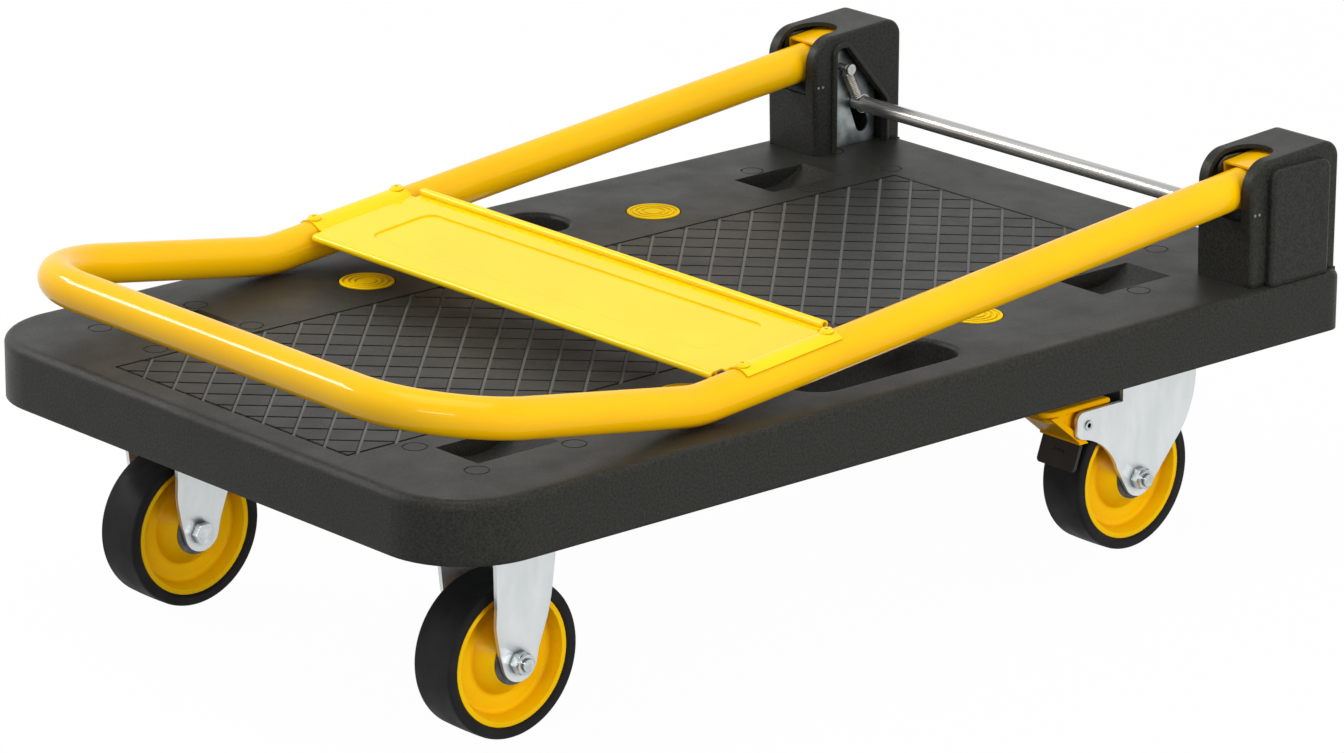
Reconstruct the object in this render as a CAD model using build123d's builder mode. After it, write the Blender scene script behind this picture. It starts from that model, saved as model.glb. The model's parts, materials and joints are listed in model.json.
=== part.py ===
"""Folding platform trolley: a moulded deck on four casters, with a tube handle that folds flat."""

import os
from math import acos, atan2, ceil, cos, degrees, hypot, pi, radians, sin, sqrt, tan

from build123d import *

os.makedirs("parts", exist_ok=True)

# Sizes are in millimetres. X runs towards the hinge end, Y to the right of a person who
# pushes from that end, and Z up. The origin is on the floor, under the middle of the deck.

# Deck
deck_length = 760.0
deck_width = 480.0
deck_height = 40.0
deck_wall = 4.5
deck_skin = 4.5
deck_edge_round = 5.5
front_corner_radius = 57.0
rear_corner_radius = 12.0
rib_wall = 3.0
rib_depth = 18.0
rib_pitch = 76.0

# Tread fields
tread_length = 268.0
tread_width = 231.0
front_tread_from_front = 22.0
rear_tread_from_rear = 70.0
groove_width = 2.2
groove_depth = 1.0
groove_pitch = 21.05
groove_start_right = 10.5
groove_start_left = 2.2

# Hand holes and plugs
hand_hole_length = 134.0
hand_hole_width = 46.0
hand_hole_corner = 20.0
hand_hole_lip = 3.5
hand_hole_inset = 53.0
hand_hole_collar = 26.0
plug_diameter = 36.0
plug_thickness = 3.0
plug_proud = 0.6
plug_shank_diameter = 20.0
plug_shank_length = 12.0
plug_x = 124.0
plug_inset = 84.6
plug_seat_gap = 0.8
plug_ring_width = 2.0
plug_ring_depth = 0.6

# Casters
caster_height = 150.8
skirt_drop = 8.0
front_caster_from_front = 101.8
rear_caster_from_rear = 100.0
caster_inset = 83.0
caster_plate_length = 98.0
caster_plate_width = 82.0
caster_plate_thickness = 4.0
caster_plate_corner = 8.0
caster_pad_margin = 3.0
caster_bolt_spacing_x = 76.0
caster_bolt_spacing_y = 58.0
caster_bolt_diameter = 8.0
caster_bolt_length = 24.0
caster_bolt_head = 14.0
caster_bolt_head_height = 4.5
ring_mark_diameter = 16.0
ring_mark_width = 1.0
ring_mark_depth = 0.6
fork_sheet = 3.0
fork_end_radius = 13.2
fork_end_shift = 1.5

# Front fork legs, measured from the axle
leg_half_length = 29.5
leg_waist_front = 23.0
leg_waist_rear = 23.4
leg_waist_height = 66.0
leg_knee_front = 20.0
leg_knee_rear = 20.6
leg_taper_height = 26.0
leg_straight = 6.0
leg_knee_height = 40.0
leg_knee_spread = 5.4
leg_top_spread = 9.0

# Wheel pockets in the deck
front_pocket_from_front = 104.0
rear_pocket_from_rear = 131.0
pocket_length = 64.0
pocket_width = 40.0
pocket_radius = 50.0
pocket_wall = 4.0

# Wheels
wheel_diameter = 101.6
tyre_width = 34.0
tyre_crown = 0.3
tyre_shoulder = 2.0
hub_diameter = 86.0
rim_width = 31.0
rim_edge = 3.2
hub_web = 12.0
boss_diameter = 32.0
boss_width = 35.0
boss_flare = 9.0
hub_cap_diameter = 31.0
hub_cap_thickness = 0.8
axle_diameter = 8.0
sleeve_diameter = 12.0
axle_head_flats = 13.0
axle_head_height = 5.3
axle_nut_height = 8.0
axle_end = 2.0

# Swivel head of the rear casters
swivel_trail = 26.0
crown_above_axle = 81.0
race_diameter = 58.0
race_height = 6.2
race_gap = 2.0
ball_diameter = 6.0
ball_circle = 42.0
ball_count = 14
king_pin_diameter = 12.0
king_pin_head = 20.0
king_pin_head_height = 4.0
king_pin_flange = 17.0
king_pin_flange_height = 1.5

# Swivel fork outline, measured from the swivel axis, with heights above the axle
fork_rear = 26.0
fork_rear_bend = 63.0
fork_rear_middle_x = 22.0
fork_rear_middle = 40.0
fork_rear_foot_x = 13.0
fork_rear_foot = 23.5
fork_front = 42.0
brake_arm_top = 55.5
brake_arm_reach = 83.5
brake_arm_bottom = 38.5
brake_arm_round = 5.5
throat_top_x = 77.0
throat_top = 36.5
throat_middle_x = 60.5
throat_middle = 29.2
throat_foot_x = 45.0
throat_foot = 8.8

# Foot brake
pedal_axis_reach = 73.7
pedal_above_axle = 45.9
pedal_pin_diameter = 5.0
pedal_pin_head = 7.0
pedal_pin_head_height = 1.0
pedal_pin_hollow = 3.2
pedal_pin_hollow_depth = 4.0
pedal_plate_thickness = 4.0
pedal_plate_corner = 9.0
pedal_edge_round = 1.5
pedal_lip_height = 4.6
pedal_lip_back = 5.0
pedal_lip_length = 12.0
pedal_groove_width = 1.6
pedal_groove_length = 24.0
pedal_groove_depth = 0.8
pedal_groove_spacing = 5.5
pedal_groove_count = 7
pedal_plate_height = 13.5
pedal_plate_rear = 23.0
pedal_plate_front = 35.0
pedal_front_sheet = 3.2
pedal_foot_x = 2.4
pedal_heel_x = 6.0
pedal_foot_drop = 13.8
pedal_cheek_inset = 3.5
pedal_cheek_thickness = 4.0
pedal_boss_diameter = 15.0
brake_travel = 7.0
pedal_foot_lip = 2.0
shoe_width = 34.0
shoe_reach = 32.0
shoe_lean = 19.0
shoe_sheet = 2.6
shoe_corner = 3.0
shoe_block_inset = 5.0
shoe_mark_width = 11.0
shoe_mark_line = 1.4
shoe_mark_drop = 1.8
shoe_mark_depth = 0.8
shoe_mark_from_foot = 7.0

# Handle
tube_diameter = 26.0
tube_wall = 1.5
handle_inset = 31.5
fold_slope = 5.93
handle_reach = 483.0
kink_radius = 80.0
grip_rise = 9.03
grip_corner_radius = 72.0
grip_setback = 0.3
tube_end = 10.0
handle_rest_gap = 0.3

# Cross plate on the handle
plate_from_pivot = 411.0
plate_length = 98.0
plate_sheet = 1.2
plate_drop = 2.9
plate_flap_length = 79.0
plate_flap_angle = 42.0
plate_edge_gap = 4.0
plate_roll_radius = 2.8
field_length = 52.0
field_width = 327.0
field_corner = 9.0
field_depth = 1.0
rivet_spacing = 70.0
rivet_diameter = 4.8
rivet_head = 9.5
rivet_head_height = 1.8
rivet_tail = 7.0
rivet_tail_length = 2.5
rivet_dimple = 2.6

# Hinge covers
post_length = 80.5
post_width = 49.0
post_shift = 1.2
post_setback = 1.0
post_above_pivot = 24.6
post_top_fall = 4.8
post_lean = 2.2
post_wall = 3.0
post_front_round = 20.0
post_rear_round = 12.0
post_edge_round = 3.0
pivot_from_post_front = 21.5
tube_opening_gap = 2.0
tube_opening_shift = 1.2
tube_opening_drop = 20.0
outer_bulge_reach = 29.0
outer_bulge_length = 55.0
outer_bulge_height = 78.0
outer_bulge_corner = 8.0
outer_bulge_from_front = 13.0
window_flange_reach = 28.5
window_flange_wall = 3.5
window_flange_round = 2.0
window_front = 17.5
window_rear = 65.0
window_top = 75.0
window_top_rear = 27.5
window_shoulder = 31.0
window_round = 5.0
cover_boss_length = 9.0
cover_boss_height = 16.0
cover_screw_diameter = 4.0
cover_screw_spacing = 20.0
cover_screw_depth = 12.0
cover_screw_head = 8.0
cover_screw_head_height = 3.0

# Hinge brackets, their pins and bolts
bracket_sheet = 2.0
bracket_half_width = 17.2
bracket_front_gap = 4.5
bracket_length = 56.0
bracket_from_pivot_top = 16.0
bracket_top_length = 25.0
bracket_shoulder = 42.0
bracket_corner = 9.0
bracket_bolt_diameter = 6.0
bracket_bolt_head = 11.0
bracket_bolt_head_height = 3.5
bracket_bolt_spacing_x = 16.0
bracket_bolt_spacing_y = 16.0
bracket_bolt_from_rear = 14.0
bracket_nut_flats = 10.0
bracket_nut_height = 5.0
post_pad_depth = 14.0
hinge_pin_diameter = 10.0
pivot_bush_diameter = 14.0
channel_sheet = 1.6
channel_front = 9.0
channel_lower_angle = 14.0
channel_lower_end = 12.0

# Release rod and its springs
rod_diameter = 11.0
rod_from_pivot_x = 23.5
rod_from_pivot_z = 32.2
rod_travel = 18.5
rod_end = 23.0
slot_tilt = 21.6
slot_width = 12.0
rod_clip_diameter = 16.0
rod_clip_thickness = 1.2
stud_from_pivot_x = 9.3
stud_from_pivot_z = 4.7
stud_diameter = 4.8
stud_head = 7.6
stud_head_height = 2.4
stud_dome = 1.8
spring_wire = 0.9
spring_mean_radius = 3.6
spring_turns = 15
spring_hook_turn = 280.0

# Clearances
running_fit = 0.05
loose_fit = 0.1
side_gap = 0.3
wide_gap = 0.4
spring_gap = 0.6

# Heights and places worked out from the sizes above
half_length = deck_length / 2
half_width = deck_width / 2
skirt_bottom = caster_height - skirt_drop
deck_top = skirt_bottom + deck_height
skin_bottom = deck_top - deck_skin
axle_z = wheel_diameter / 2
crown_height = axle_z + crown_above_axle
pedal_axis_z = axle_z + pedal_above_axle
tube_radius = tube_diameter / 2
caster_y = half_width - caster_inset
front_caster_x = -half_length + front_caster_from_front
rear_caster_x = half_length - rear_caster_from_rear
rear_axle_x = rear_caster_x - swivel_trail
front_tread_x = -half_length + front_tread_from_front + tread_length / 2
rear_tread_x = half_length - rear_tread_from_rear - tread_length / 2
hand_hole_y = half_width - hand_hole_inset
plug_y = half_width - plug_inset
handle_y = half_width - handle_inset
post_rear = half_length - post_setback
post_front = post_rear - post_length
pivot_x = post_front + pivot_from_post_front
slope_cos = cos(radians(fold_slope))
slope_sin = sin(radians(fold_slope))
half_bend = radians(fold_slope + grip_rise) / 2
half_tilt = radians(grip_rise - fold_slope) / 2
bend_lift = kink_radius * (cos(half_tilt) / cos(half_bend) - 1)
kink_x = pivot_x - handle_reach
kink_z = deck_top + tube_radius + handle_rest_gap - bend_lift
pivot_z = kink_z + handle_reach * tan(radians(fold_slope))
post_top = pivot_z + post_above_pivot
grip_x = -half_length + tube_radius + grip_setback
grip_z = kink_z + (kink_x - grip_x) * tan(radians(grip_rise))
rod_x = pivot_x + rod_from_pivot_x
rod_z = pivot_z - rod_from_pivot_z
slide_x = sin(radians(slot_tilt))
slide_z = -cos(radians(slot_tilt))
channel_radius = hypot(rod_from_pivot_x, rod_from_pivot_z) - rod_diameter / 2 - wide_gap
stud_x = pivot_x + stud_from_pivot_x
stud_z = pivot_z - stud_from_pivot_z
fork_half_gap = boss_width / 2 + hub_cap_thickness + side_gap
fork_half_width = fork_half_gap + fork_sheet
post_y = handle_y - post_shift
cavity_half = post_width / 2 - post_wall
bracket_outer = bracket_half_width
bracket_inner = bracket_outer - bracket_sheet
channel_outer = bracket_inner - side_gap
channel_inner = channel_outer - channel_sheet
spring_offset = bracket_outer + spring_gap + spring_mean_radius + spring_wire / 2
hook_offset = spring_offset + spring_mean_radius
sides = {"left": -1, "right": 1}


def upright(y):
    """Plane across Y: sketch x is X, sketch y is Z, and an extrusion runs towards -Y."""
    return Plane(origin=(0, y, 0), x_dir=(1, 0, 0), z_dir=(0, -1, 0))


def slab(start, end):
    """The plane and the depth of a slab between two Y values."""
    return upright(max(start, end)), abs(end - start)


def outward(x, y, z, side):
    """Plane whose normal points away from the middle of the trolley, along Y."""
    return Plane(origin=(x, y, z), x_dir=(1, 0, 0), z_dir=(0, side, 0))


def along_tube(y):
    """Plane in the folded handle: sketch x follows the tube to the rear, sketch y is square to it."""
    return Plane(origin=(pivot_x, y, pivot_z), x_dir=(slope_cos, 0, slope_sin), z_dir=(0, -1, 0))


def above_tube(height):
    """Plane over the folded handle: sketch x follows the tube, sketch y is Y."""
    origin = (pivot_x - height * slope_sin, 0, pivot_z + height * slope_cos)
    return Plane(origin=origin, x_dir=(slope_cos, 0, slope_sin), z_dir=(-slope_sin, 0, slope_cos))


def save(builder, name):
    """Label a finished piece and write it to its own file."""
    builder.part.label = name
    export_step(builder.part, f"parts/{name}.step")


# Deck

def deck_outline(inset):
    """Plan of the deck, drawn in by an inset."""
    with BuildSketch() as outline:
        Rectangle(deck_length - 2 * inset, deck_width - 2 * inset)
        fillet(outline.vertices().group_by(Axis.X)[0], max(front_corner_radius - inset, 1))
        fillet(outline.vertices().group_by(Axis.X)[-1], max(rear_corner_radius - inset, 1))
    return outline.sketch


def tread_grooves(field_x):
    """Diamond grooves of one tread field, with the groove round it. One lattice runs on through both fields."""
    line_length = hypot(tread_length, tread_width) + 2 * groove_pitch
    line_count = 2 * ceil(line_length / groove_pitch / 2) + 1
    middle = field_x * cos(radians(45))
    right_shift = (groove_start_right - middle) % groove_pitch
    left_shift = (groove_start_left - middle) % groove_pitch
    with BuildSketch() as frame:
        Rectangle(tread_length, tread_width)
        Rectangle(tread_length - 2 * groove_width, tread_width - 2 * groove_width, mode=Mode.SUBTRACT)
    with BuildSketch() as grooves:
        for turn, shift in ((45, right_shift), (-45, left_shift)):
            with Locations(Location((0, 0, 0), (0, 0, turn))):
                with Locations((shift, 0)):
                    with GridLocations(groove_pitch, 0, line_count, 1):
                        Rectangle(groove_width, line_length)
        Rectangle(tread_length, tread_width, mode=Mode.INTERSECT)
        add(frame.sketch)
    return grooves.sketch


outer_outline = deck_outline(0)
inner_outline = deck_outline(deck_wall)
rib_bottom = skin_bottom - rib_depth
rib_count_x = int(deck_length // rib_pitch)
rib_count_y = int(deck_width // rib_pitch)
pocket_depth = pocket_radius - sqrt(pocket_radius**2 - (pocket_length / 2) ** 2)
plug_recess = plug_thickness - plug_proud
post_pad_bottom = skin_bottom - post_pad_depth
post_middle_x = (post_front + post_rear) / 2
caster_spots = [(x, side * caster_y) for x in (front_caster_x, rear_caster_x) for side in sides.values()]
front_pocket_x = -half_length + front_pocket_from_front
rear_pocket_x = half_length - rear_pocket_from_rear
pocket_spots = [(x, side * caster_y) for x in (front_pocket_x, rear_pocket_x) for side in sides.values()]
hand_hole_spots = [(0, side * hand_hole_y) for side in sides.values()]
plug_spots = [(x, side * plug_y) for x in (-plug_x, plug_x) for side in sides.values()]
post_spots = [(post_middle_x, side * post_y) for side in sides.values()]
bracket_rear = post_front + post_wall + bracket_front_gap + bracket_length
bracket_bolt_x = bracket_rear - bracket_bolt_from_rear
bracket_bolt_spots = [
    (bracket_bolt_x + dx * bracket_bolt_spacing_x / 2, side * handle_y + dy * bracket_bolt_spacing_y / 2)
    for side in sides.values()
    for dx in (-1, 1)
    for dy in (-1, 1)
]
cover_screw_x = post_rear - post_wall - cover_boss_length / 2
cover_screw_spots = [
    (cover_screw_x, side * handle_y + dy * cover_screw_spacing / 2)
    for side in sides.values()
    for dy in (-1, 1)
]
caster_bolt_spots = [
    (x + dx * caster_bolt_spacing_x / 2, y + dy * caster_bolt_spacing_y / 2)
    for x, y in caster_spots
    for dx in (-1, 1)
    for dy in (-1, 1)
]

with BuildPart() as deck:
    with BuildSketch(Plane.XY.offset(skirt_bottom)):
        add(outer_outline)
    extrude(amount=deck_height)
    fillet(deck.faces().sort_by(Axis.Z)[-1].edges(), deck_edge_round)
    with BuildSketch(Plane.XY.offset(skirt_bottom)):
        add(inner_outline)
    extrude(amount=deck_height - deck_skin, mode=Mode.SUBTRACT)
    # ribs under the skin
    with BuildSketch(Plane.XY.offset(rib_bottom)):
        with GridLocations(rib_pitch, 0, rib_count_x, 1):
            Rectangle(rib_wall, deck_width)
        with GridLocations(0, rib_pitch, 1, rib_count_y):
            Rectangle(deck_length, rib_wall)
        add(inner_outline, mode=Mode.INTERSECT)
    extrude(amount=rib_depth)
    # pads over the casters
    with BuildSketch(Plane.XY.offset(caster_height)):
        with Locations(*caster_spots):
            Rectangle(caster_plate_length + 2 * caster_pad_margin, caster_plate_width + 2 * caster_pad_margin)
    extrude(amount=skin_bottom - caster_height)
    # tubs under the wheel pockets
    with BuildSketch(Plane.XY.offset(deck_top - pocket_depth - pocket_wall)):
        with Locations(*pocket_spots):
            Rectangle(pocket_length + 2 * pocket_wall, pocket_width + 2 * pocket_wall)
    extrude(amount=pocket_depth + pocket_wall - deck_skin)
    # pads under the hinge covers
    with BuildSketch(Plane.XY.offset(post_pad_bottom)):
        with Locations(*post_spots):
            Rectangle(post_length, post_width)
    extrude(amount=post_pad_depth + deck_skin)
    with BuildSketch(Plane.XY.offset(skirt_bottom)):
        with Locations(*post_spots):
            Rectangle(post_length, post_width)
        add(inner_outline, mode=Mode.INTERSECT)
    extrude(amount=post_pad_bottom - skirt_bottom, mode=Mode.SUBTRACT)
    # collars round the hand holes and the plugs
    with BuildSketch(Plane.XY.offset(skin_bottom - hand_hole_collar)):
        with Locations(*hand_hole_spots):
            RectangleRounded(
                hand_hole_length + 2 * deck_wall,
                hand_hole_width + 2 * deck_wall,
                hand_hole_corner + deck_wall,
            )
    extrude(amount=hand_hole_collar)
    with BuildSketch(Plane.XY.offset(deck_top - plug_recess - plug_shank_length)):
        with Locations(*plug_spots):
            Circle(plug_diameter / 2 + deck_wall)
    extrude(amount=plug_recess + plug_shank_length - deck_skin)
    # hand holes, plug seats and wheel pockets
    with BuildSketch(Plane.XY.offset(deck_top)):
        with Locations(*hand_hole_spots):
            RectangleRounded(hand_hole_length, hand_hole_width, hand_hole_corner)
    extrude(amount=-deck_height, mode=Mode.SUBTRACT)
    top_rims = deck.faces().filter_by(Axis.Z).sort_by(Axis.Z)[-1].inner_wires()
    fillet([edge for rim in top_rims for edge in rim.edges()], hand_hole_lip)
    with BuildSketch(Plane.XY.offset(deck_top)):
        with Locations(*plug_spots):
            Circle(plug_diameter / 2 + plug_seat_gap)
    extrude(amount=-plug_recess, mode=Mode.SUBTRACT)
    with BuildSketch(Plane.XY.offset(deck_top)):
        with Locations(*plug_spots):
            Circle(plug_shank_diameter / 2 + loose_fit)
    extrude(amount=-deck_height, mode=Mode.SUBTRACT)
    for pocket_x, pocket_y in pocket_spots:
        with BuildSketch(upright(pocket_y + pocket_width / 2)):
            with Locations((pocket_x, deck_top + pocket_radius - pocket_depth)):
                Circle(pocket_radius)
        extrude(amount=pocket_width, mode=Mode.SUBTRACT)
    # holes for the caster bolts, bracket bolts and cover screws
    with BuildSketch(Plane.XY.offset(caster_height)):
        with Locations(*caster_bolt_spots):
            Circle(caster_bolt_diameter / 2 + loose_fit)
    extrude(amount=caster_bolt_length - caster_plate_thickness + loose_fit, mode=Mode.SUBTRACT)
    with BuildSketch(Plane.XY.offset(deck_top)):
        with Locations(*bracket_bolt_spots):
            Circle(bracket_bolt_diameter / 2 + loose_fit)
        with Locations(*cover_screw_spots):
            Circle(cover_screw_diameter / 2 + loose_fit)
    extrude(amount=-deck_height, mode=Mode.SUBTRACT)
    # tread grooves and ring marks
    with BuildSketch(Plane.XY.offset(deck_top)):
        for field_x in (front_tread_x, rear_tread_x):
            with Locations((field_x, 0)):
                add(tread_grooves(field_x))
    extrude(amount=-groove_depth, mode=Mode.SUBTRACT)
    with BuildSketch(Plane.XY.offset(deck_top)):
        with Locations(*caster_bolt_spots):
            Circle(ring_mark_diameter / 2)
            Circle(ring_mark_diameter / 2 - ring_mark_width, mode=Mode.SUBTRACT)
    extrude(amount=-ring_mark_depth, mode=Mode.SUBTRACT)
save(deck, "deck")

# Deck plugs

with BuildPart() as deck_plugs:
    with BuildSketch(Plane.XY.offset(deck_top - plug_recess)):
        with Locations(*plug_spots):
            Circle(plug_diameter / 2)
    extrude(amount=plug_thickness)
    with BuildSketch(Plane.XY.offset(deck_top - plug_recess)):
        with Locations(*plug_spots):
            Circle(plug_shank_diameter / 2)
    extrude(amount=-plug_shank_length)
    chamfer(deck_plugs.faces().sort_by(Axis.Z)[-len(plug_spots):].edges(), plug_proud / 2)
    with BuildSketch(Plane.XY.offset(deck_top + plug_proud)):
        with Locations(*plug_spots):
            for ring in (1, 3, 5):
                Circle(plug_diameter / 2 - ring * plug_ring_width)
                Circle(plug_diameter / 2 - (ring + 1) * plug_ring_width, mode=Mode.SUBTRACT)
    extrude(amount=-plug_ring_depth, mode=Mode.SUBTRACT)
save(deck_plugs, "deck_plugs")

# Caster bolts

with BuildPart() as caster_bolts:
    with BuildSketch(Plane.XY.offset(caster_height - caster_plate_thickness)):
        with Locations(*caster_bolt_spots):
            RegularPolygon(caster_bolt_head / 2, 6, major_radius=False, rotation=30)
    extrude(amount=-caster_bolt_head_height)
    with BuildSketch(Plane.XY.offset(caster_height - caster_plate_thickness)):
        with Locations(*caster_bolt_spots):
            Circle(caster_bolt_diameter / 2)
    extrude(amount=caster_bolt_length)
save(caster_bolts, "caster_bolts")

# Hinge covers

window_points = [
    (post_front + window_front, deck_top),
    (post_front + window_front, deck_top + window_top),
    (post_front + window_top_rear, deck_top + window_top),
    (post_front + window_rear, deck_top + window_shoulder),
    (post_front + window_rear, deck_top),
]


def window_outline(grow):
    """Three-sided window of a hinge cover, grown by the width of its flange."""
    with BuildSketch() as outline:
        with BuildLine():
            Polyline(*window_points, close=True)
        make_face()
        fillet(outline.vertices().group_by(Axis.Y)[1:], window_round)
        if grow:
            offset(amount=grow)
            with Locations((post_middle_x, deck_top - grow)):
                Rectangle(2 * post_length, 2 * grow, mode=Mode.SUBTRACT)
    return outline.sketch


window_hole = window_outline(0)
window_flange = window_outline(window_flange_wall)
bulge_middle_x = post_front + outer_bulge_from_front + outer_bulge_length / 2


def bulge_outline(inset):
    """Outline of the raised field on the outside of a hinge cover, drawn in by an inset."""
    height = outer_bulge_height - inset
    with BuildSketch() as outline:
        with Locations((bulge_middle_x, deck_top + height / 2)):
            Rectangle(outer_bulge_length - 2 * inset, height)
        fillet(outline.vertices().group_by(Axis.Y)[-1], outer_bulge_corner - inset)
    return outline.sketch


def post_outline(inset):
    """Side view of a hinge cover, drawn in by an inset at its front, rear and top."""
    front_top = (post_front - post_lean + inset, post_top - post_top_fall - inset)
    rear_top = (post_rear - inset, post_top - inset)
    with BuildSketch() as outline:
        with BuildLine():
            Polyline(
                (post_front + inset, deck_top),
                front_top,
                rear_top,
                (post_rear - inset, deck_top),
                close=True,
            )
        make_face()
        fillet(outline.vertices().sort_by_distance(front_top)[0], post_front_round - inset)
        fillet(outline.vertices().sort_by_distance(rear_top)[0], post_rear_round - inset)
    return outline.sketch


post_solid = post_outline(0)
post_cavity = post_outline(post_wall)
bulge_solid = bulge_outline(0)
bulge_cavity = bulge_outline(post_wall)


def hinge_cover(side):
    """Moulded tower over one hinge. Offsets count outwards from the handle's tube."""
    middle = side * handle_y
    post_middle = side * post_y
    opening_middle = middle - side * tube_opening_shift
    post_plane, post_depth = slab(post_middle - post_width / 2, post_middle + post_width / 2)
    bulge_plane, bulge_depth = slab(middle, middle + side * outer_bulge_reach)
    flange_plane, flange_depth = slab(middle, middle - side * window_flange_reach)
    cavity_plane, cavity_depth = slab(post_middle - cavity_half, post_middle + cavity_half)
    hollow_plane, hollow_depth = slab(middle, middle + side * (outer_bulge_reach - post_wall))
    outermost = -1 if side > 0 else 0
    innermost = 0 if side > 0 else -1
    with BuildPart() as cover:
        with BuildSketch(post_plane):
            add(post_solid)
        extrude(amount=post_depth)
        rims = cover.faces().filter_by(Axis.Y).edges()
        fillet(rims.filter_by(lambda edge: edge.center().Z > deck_top), post_edge_round)
        with BuildSketch(bulge_plane):
            add(bulge_solid)
        extrude(amount=bulge_depth)
        rim = cover.faces().filter_by(Axis.Y).sort_by(Axis.Y)[outermost].edges()
        fillet(rim.filter_by(lambda edge: edge.center().Z > deck_top), post_edge_round)
        with BuildSketch(flange_plane):
            add(window_flange)
        extrude(amount=flange_depth)
        rim = cover.faces().filter_by(Axis.Y).sort_by(Axis.Y)[innermost].edges()
        fillet(rim.filter_by(lambda edge: edge.center().Z > deck_top), window_flange_round)
        # hollow inside, with the outer field and the window open to it
        with BuildSketch(cavity_plane):
            add(post_cavity)
        extrude(amount=cavity_depth, mode=Mode.SUBTRACT)
        with BuildSketch(hollow_plane):
            add(bulge_cavity)
        extrude(amount=hollow_depth, mode=Mode.SUBTRACT)
        with BuildSketch(flange_plane):
            add(window_hole)
        extrude(amount=flange_depth, mode=Mode.SUBTRACT)
        # opening for the tube, from the front to behind the pivot
        with BuildSketch(Plane.XY.offset(pivot_z - tube_opening_drop)):
            with Locations((pivot_x, opening_middle)):
                Circle(tube_radius + tube_opening_gap)
            with Locations((pivot_x - post_length / 2, opening_middle)):
                Rectangle(post_length, tube_diameter + 2 * tube_opening_gap)
        extrude(amount=post_top - pivot_z + tube_opening_drop, mode=Mode.SUBTRACT)
        # boss for the two screws from below
        with BuildSketch(Plane.XY.offset(deck_top)):
            with Locations((cover_screw_x, post_middle)):
                Rectangle(cover_boss_length, 2 * cavity_half)
        extrude(amount=cover_boss_height)
        with BuildSketch(Plane.XY.offset(deck_top)):
            with Locations((cover_screw_x, middle)):
                with GridLocations(0, cover_screw_spacing, 1, 2):
                    Circle(cover_screw_diameter / 2 + loose_fit)
        extrude(amount=cover_screw_depth + loose_fit, mode=Mode.SUBTRACT)
    return cover


for side_name, side in sides.items():
    save(hinge_cover(side), f"{side_name}_hinge_cover")

with BuildPart() as cover_screws:
    with BuildSketch(Plane.XY.offset(post_pad_bottom)):
        with Locations(*cover_screw_spots):
            Circle(cover_screw_head / 2)
    extrude(amount=-cover_screw_head_height)
    with BuildSketch(Plane.XY.offset(post_pad_bottom)):
        with Locations(*cover_screw_spots):
            Circle(cover_screw_diameter / 2)
    extrude(amount=deck_top + cover_screw_depth - post_pad_bottom)
save(cover_screws, "cover_screws")

# Hinge brackets, with their bolts and pins

bracket_front = bracket_rear - bracket_length
bracket_top = pivot_z + bracket_from_pivot_top
bracket_points = [
    (bracket_front, deck_top),
    (bracket_front, bracket_top),
    (bracket_front + bracket_top_length, bracket_top),
    (bracket_rear, deck_top + bracket_shoulder),
    (bracket_rear, deck_top),
]
slot_end_gap = slot_width / 2 - rod_diameter / 2 - side_gap
slot_middle = (rod_x + slide_x * rod_travel / 2, rod_z + slide_z * rod_travel / 2)

with BuildSketch() as bracket_side:
    with BuildLine():
        Polyline(*bracket_points, close=True)
    make_face()
    fillet(bracket_side.vertices().group_by(Axis.Y)[1:], bracket_corner)
    with Locations((pivot_x, pivot_z)):
        Circle(hinge_pin_diameter / 2 + loose_fit, mode=Mode.SUBTRACT)
    with Locations(slot_middle):
        SlotCenterToCenter(
            rod_travel - 2 * slot_end_gap, slot_width, rotation=slot_tilt - 90, mode=Mode.SUBTRACT
        )


def hinge_bracket(side):
    """Steel channel bolted to the deck, with the pin hole and the rod's slot in both walls."""
    middle = side * handle_y
    outer_plane, sheet = slab(middle + side * bracket_inner, middle + side * bracket_outer)
    inner_plane, sheet = slab(middle - side * bracket_inner, middle - side * bracket_outer)
    with BuildPart() as bracket:
        for plane in (outer_plane, inner_plane):
            with BuildSketch(plane):
                add(bracket_side.sketch)
            extrude(amount=sheet)
        with BuildSketch(Plane.XY.offset(deck_top)):
            with Locations(((bracket_front + bracket_rear) / 2, middle)):
                Rectangle(bracket_length, 2 * bracket_outer)
            with Locations((bracket_bolt_x, middle)):
                with GridLocations(bracket_bolt_spacing_x, bracket_bolt_spacing_y, 2, 2):
                    Circle(bracket_bolt_diameter / 2 + loose_fit, mode=Mode.SUBTRACT)
        extrude(amount=bracket_sheet)
        with BuildSketch(inner_plane):
            with Locations((stud_x, stud_z)):
                Circle(stud_diameter / 2 + loose_fit)
        extrude(amount=sheet, mode=Mode.SUBTRACT)
    return bracket


for side_name, side in sides.items():
    save(hinge_bracket(side), f"{side_name}_hinge_bracket")

with BuildPart() as hinge_bracket_bolts:
    with BuildSketch(Plane.XY.offset(deck_top + bracket_sheet)):
        with Locations(*bracket_bolt_spots):
            Circle(bracket_bolt_head / 2)
    extrude(amount=bracket_bolt_head_height, taper=15)
    with BuildSketch(Plane.XY.offset(deck_top + bracket_sheet)):
        with Locations(*bracket_bolt_spots):
            Circle(bracket_bolt_diameter / 2)
    extrude(amount=post_pad_bottom - bracket_nut_height - deck_top - bracket_sheet)
save(hinge_bracket_bolts, "hinge_bracket_bolts")

with BuildPart() as hinge_bracket_nuts:
    with BuildSketch(Plane.XY.offset(post_pad_bottom)):
        with Locations(*bracket_bolt_spots):
            RegularPolygon(bracket_nut_flats / 2, 6, major_radius=False)
            Circle(bracket_bolt_diameter / 2 + loose_fit, mode=Mode.SUBTRACT)
    extrude(amount=-bracket_nut_height)
save(hinge_bracket_nuts, "hinge_bracket_nuts")

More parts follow.
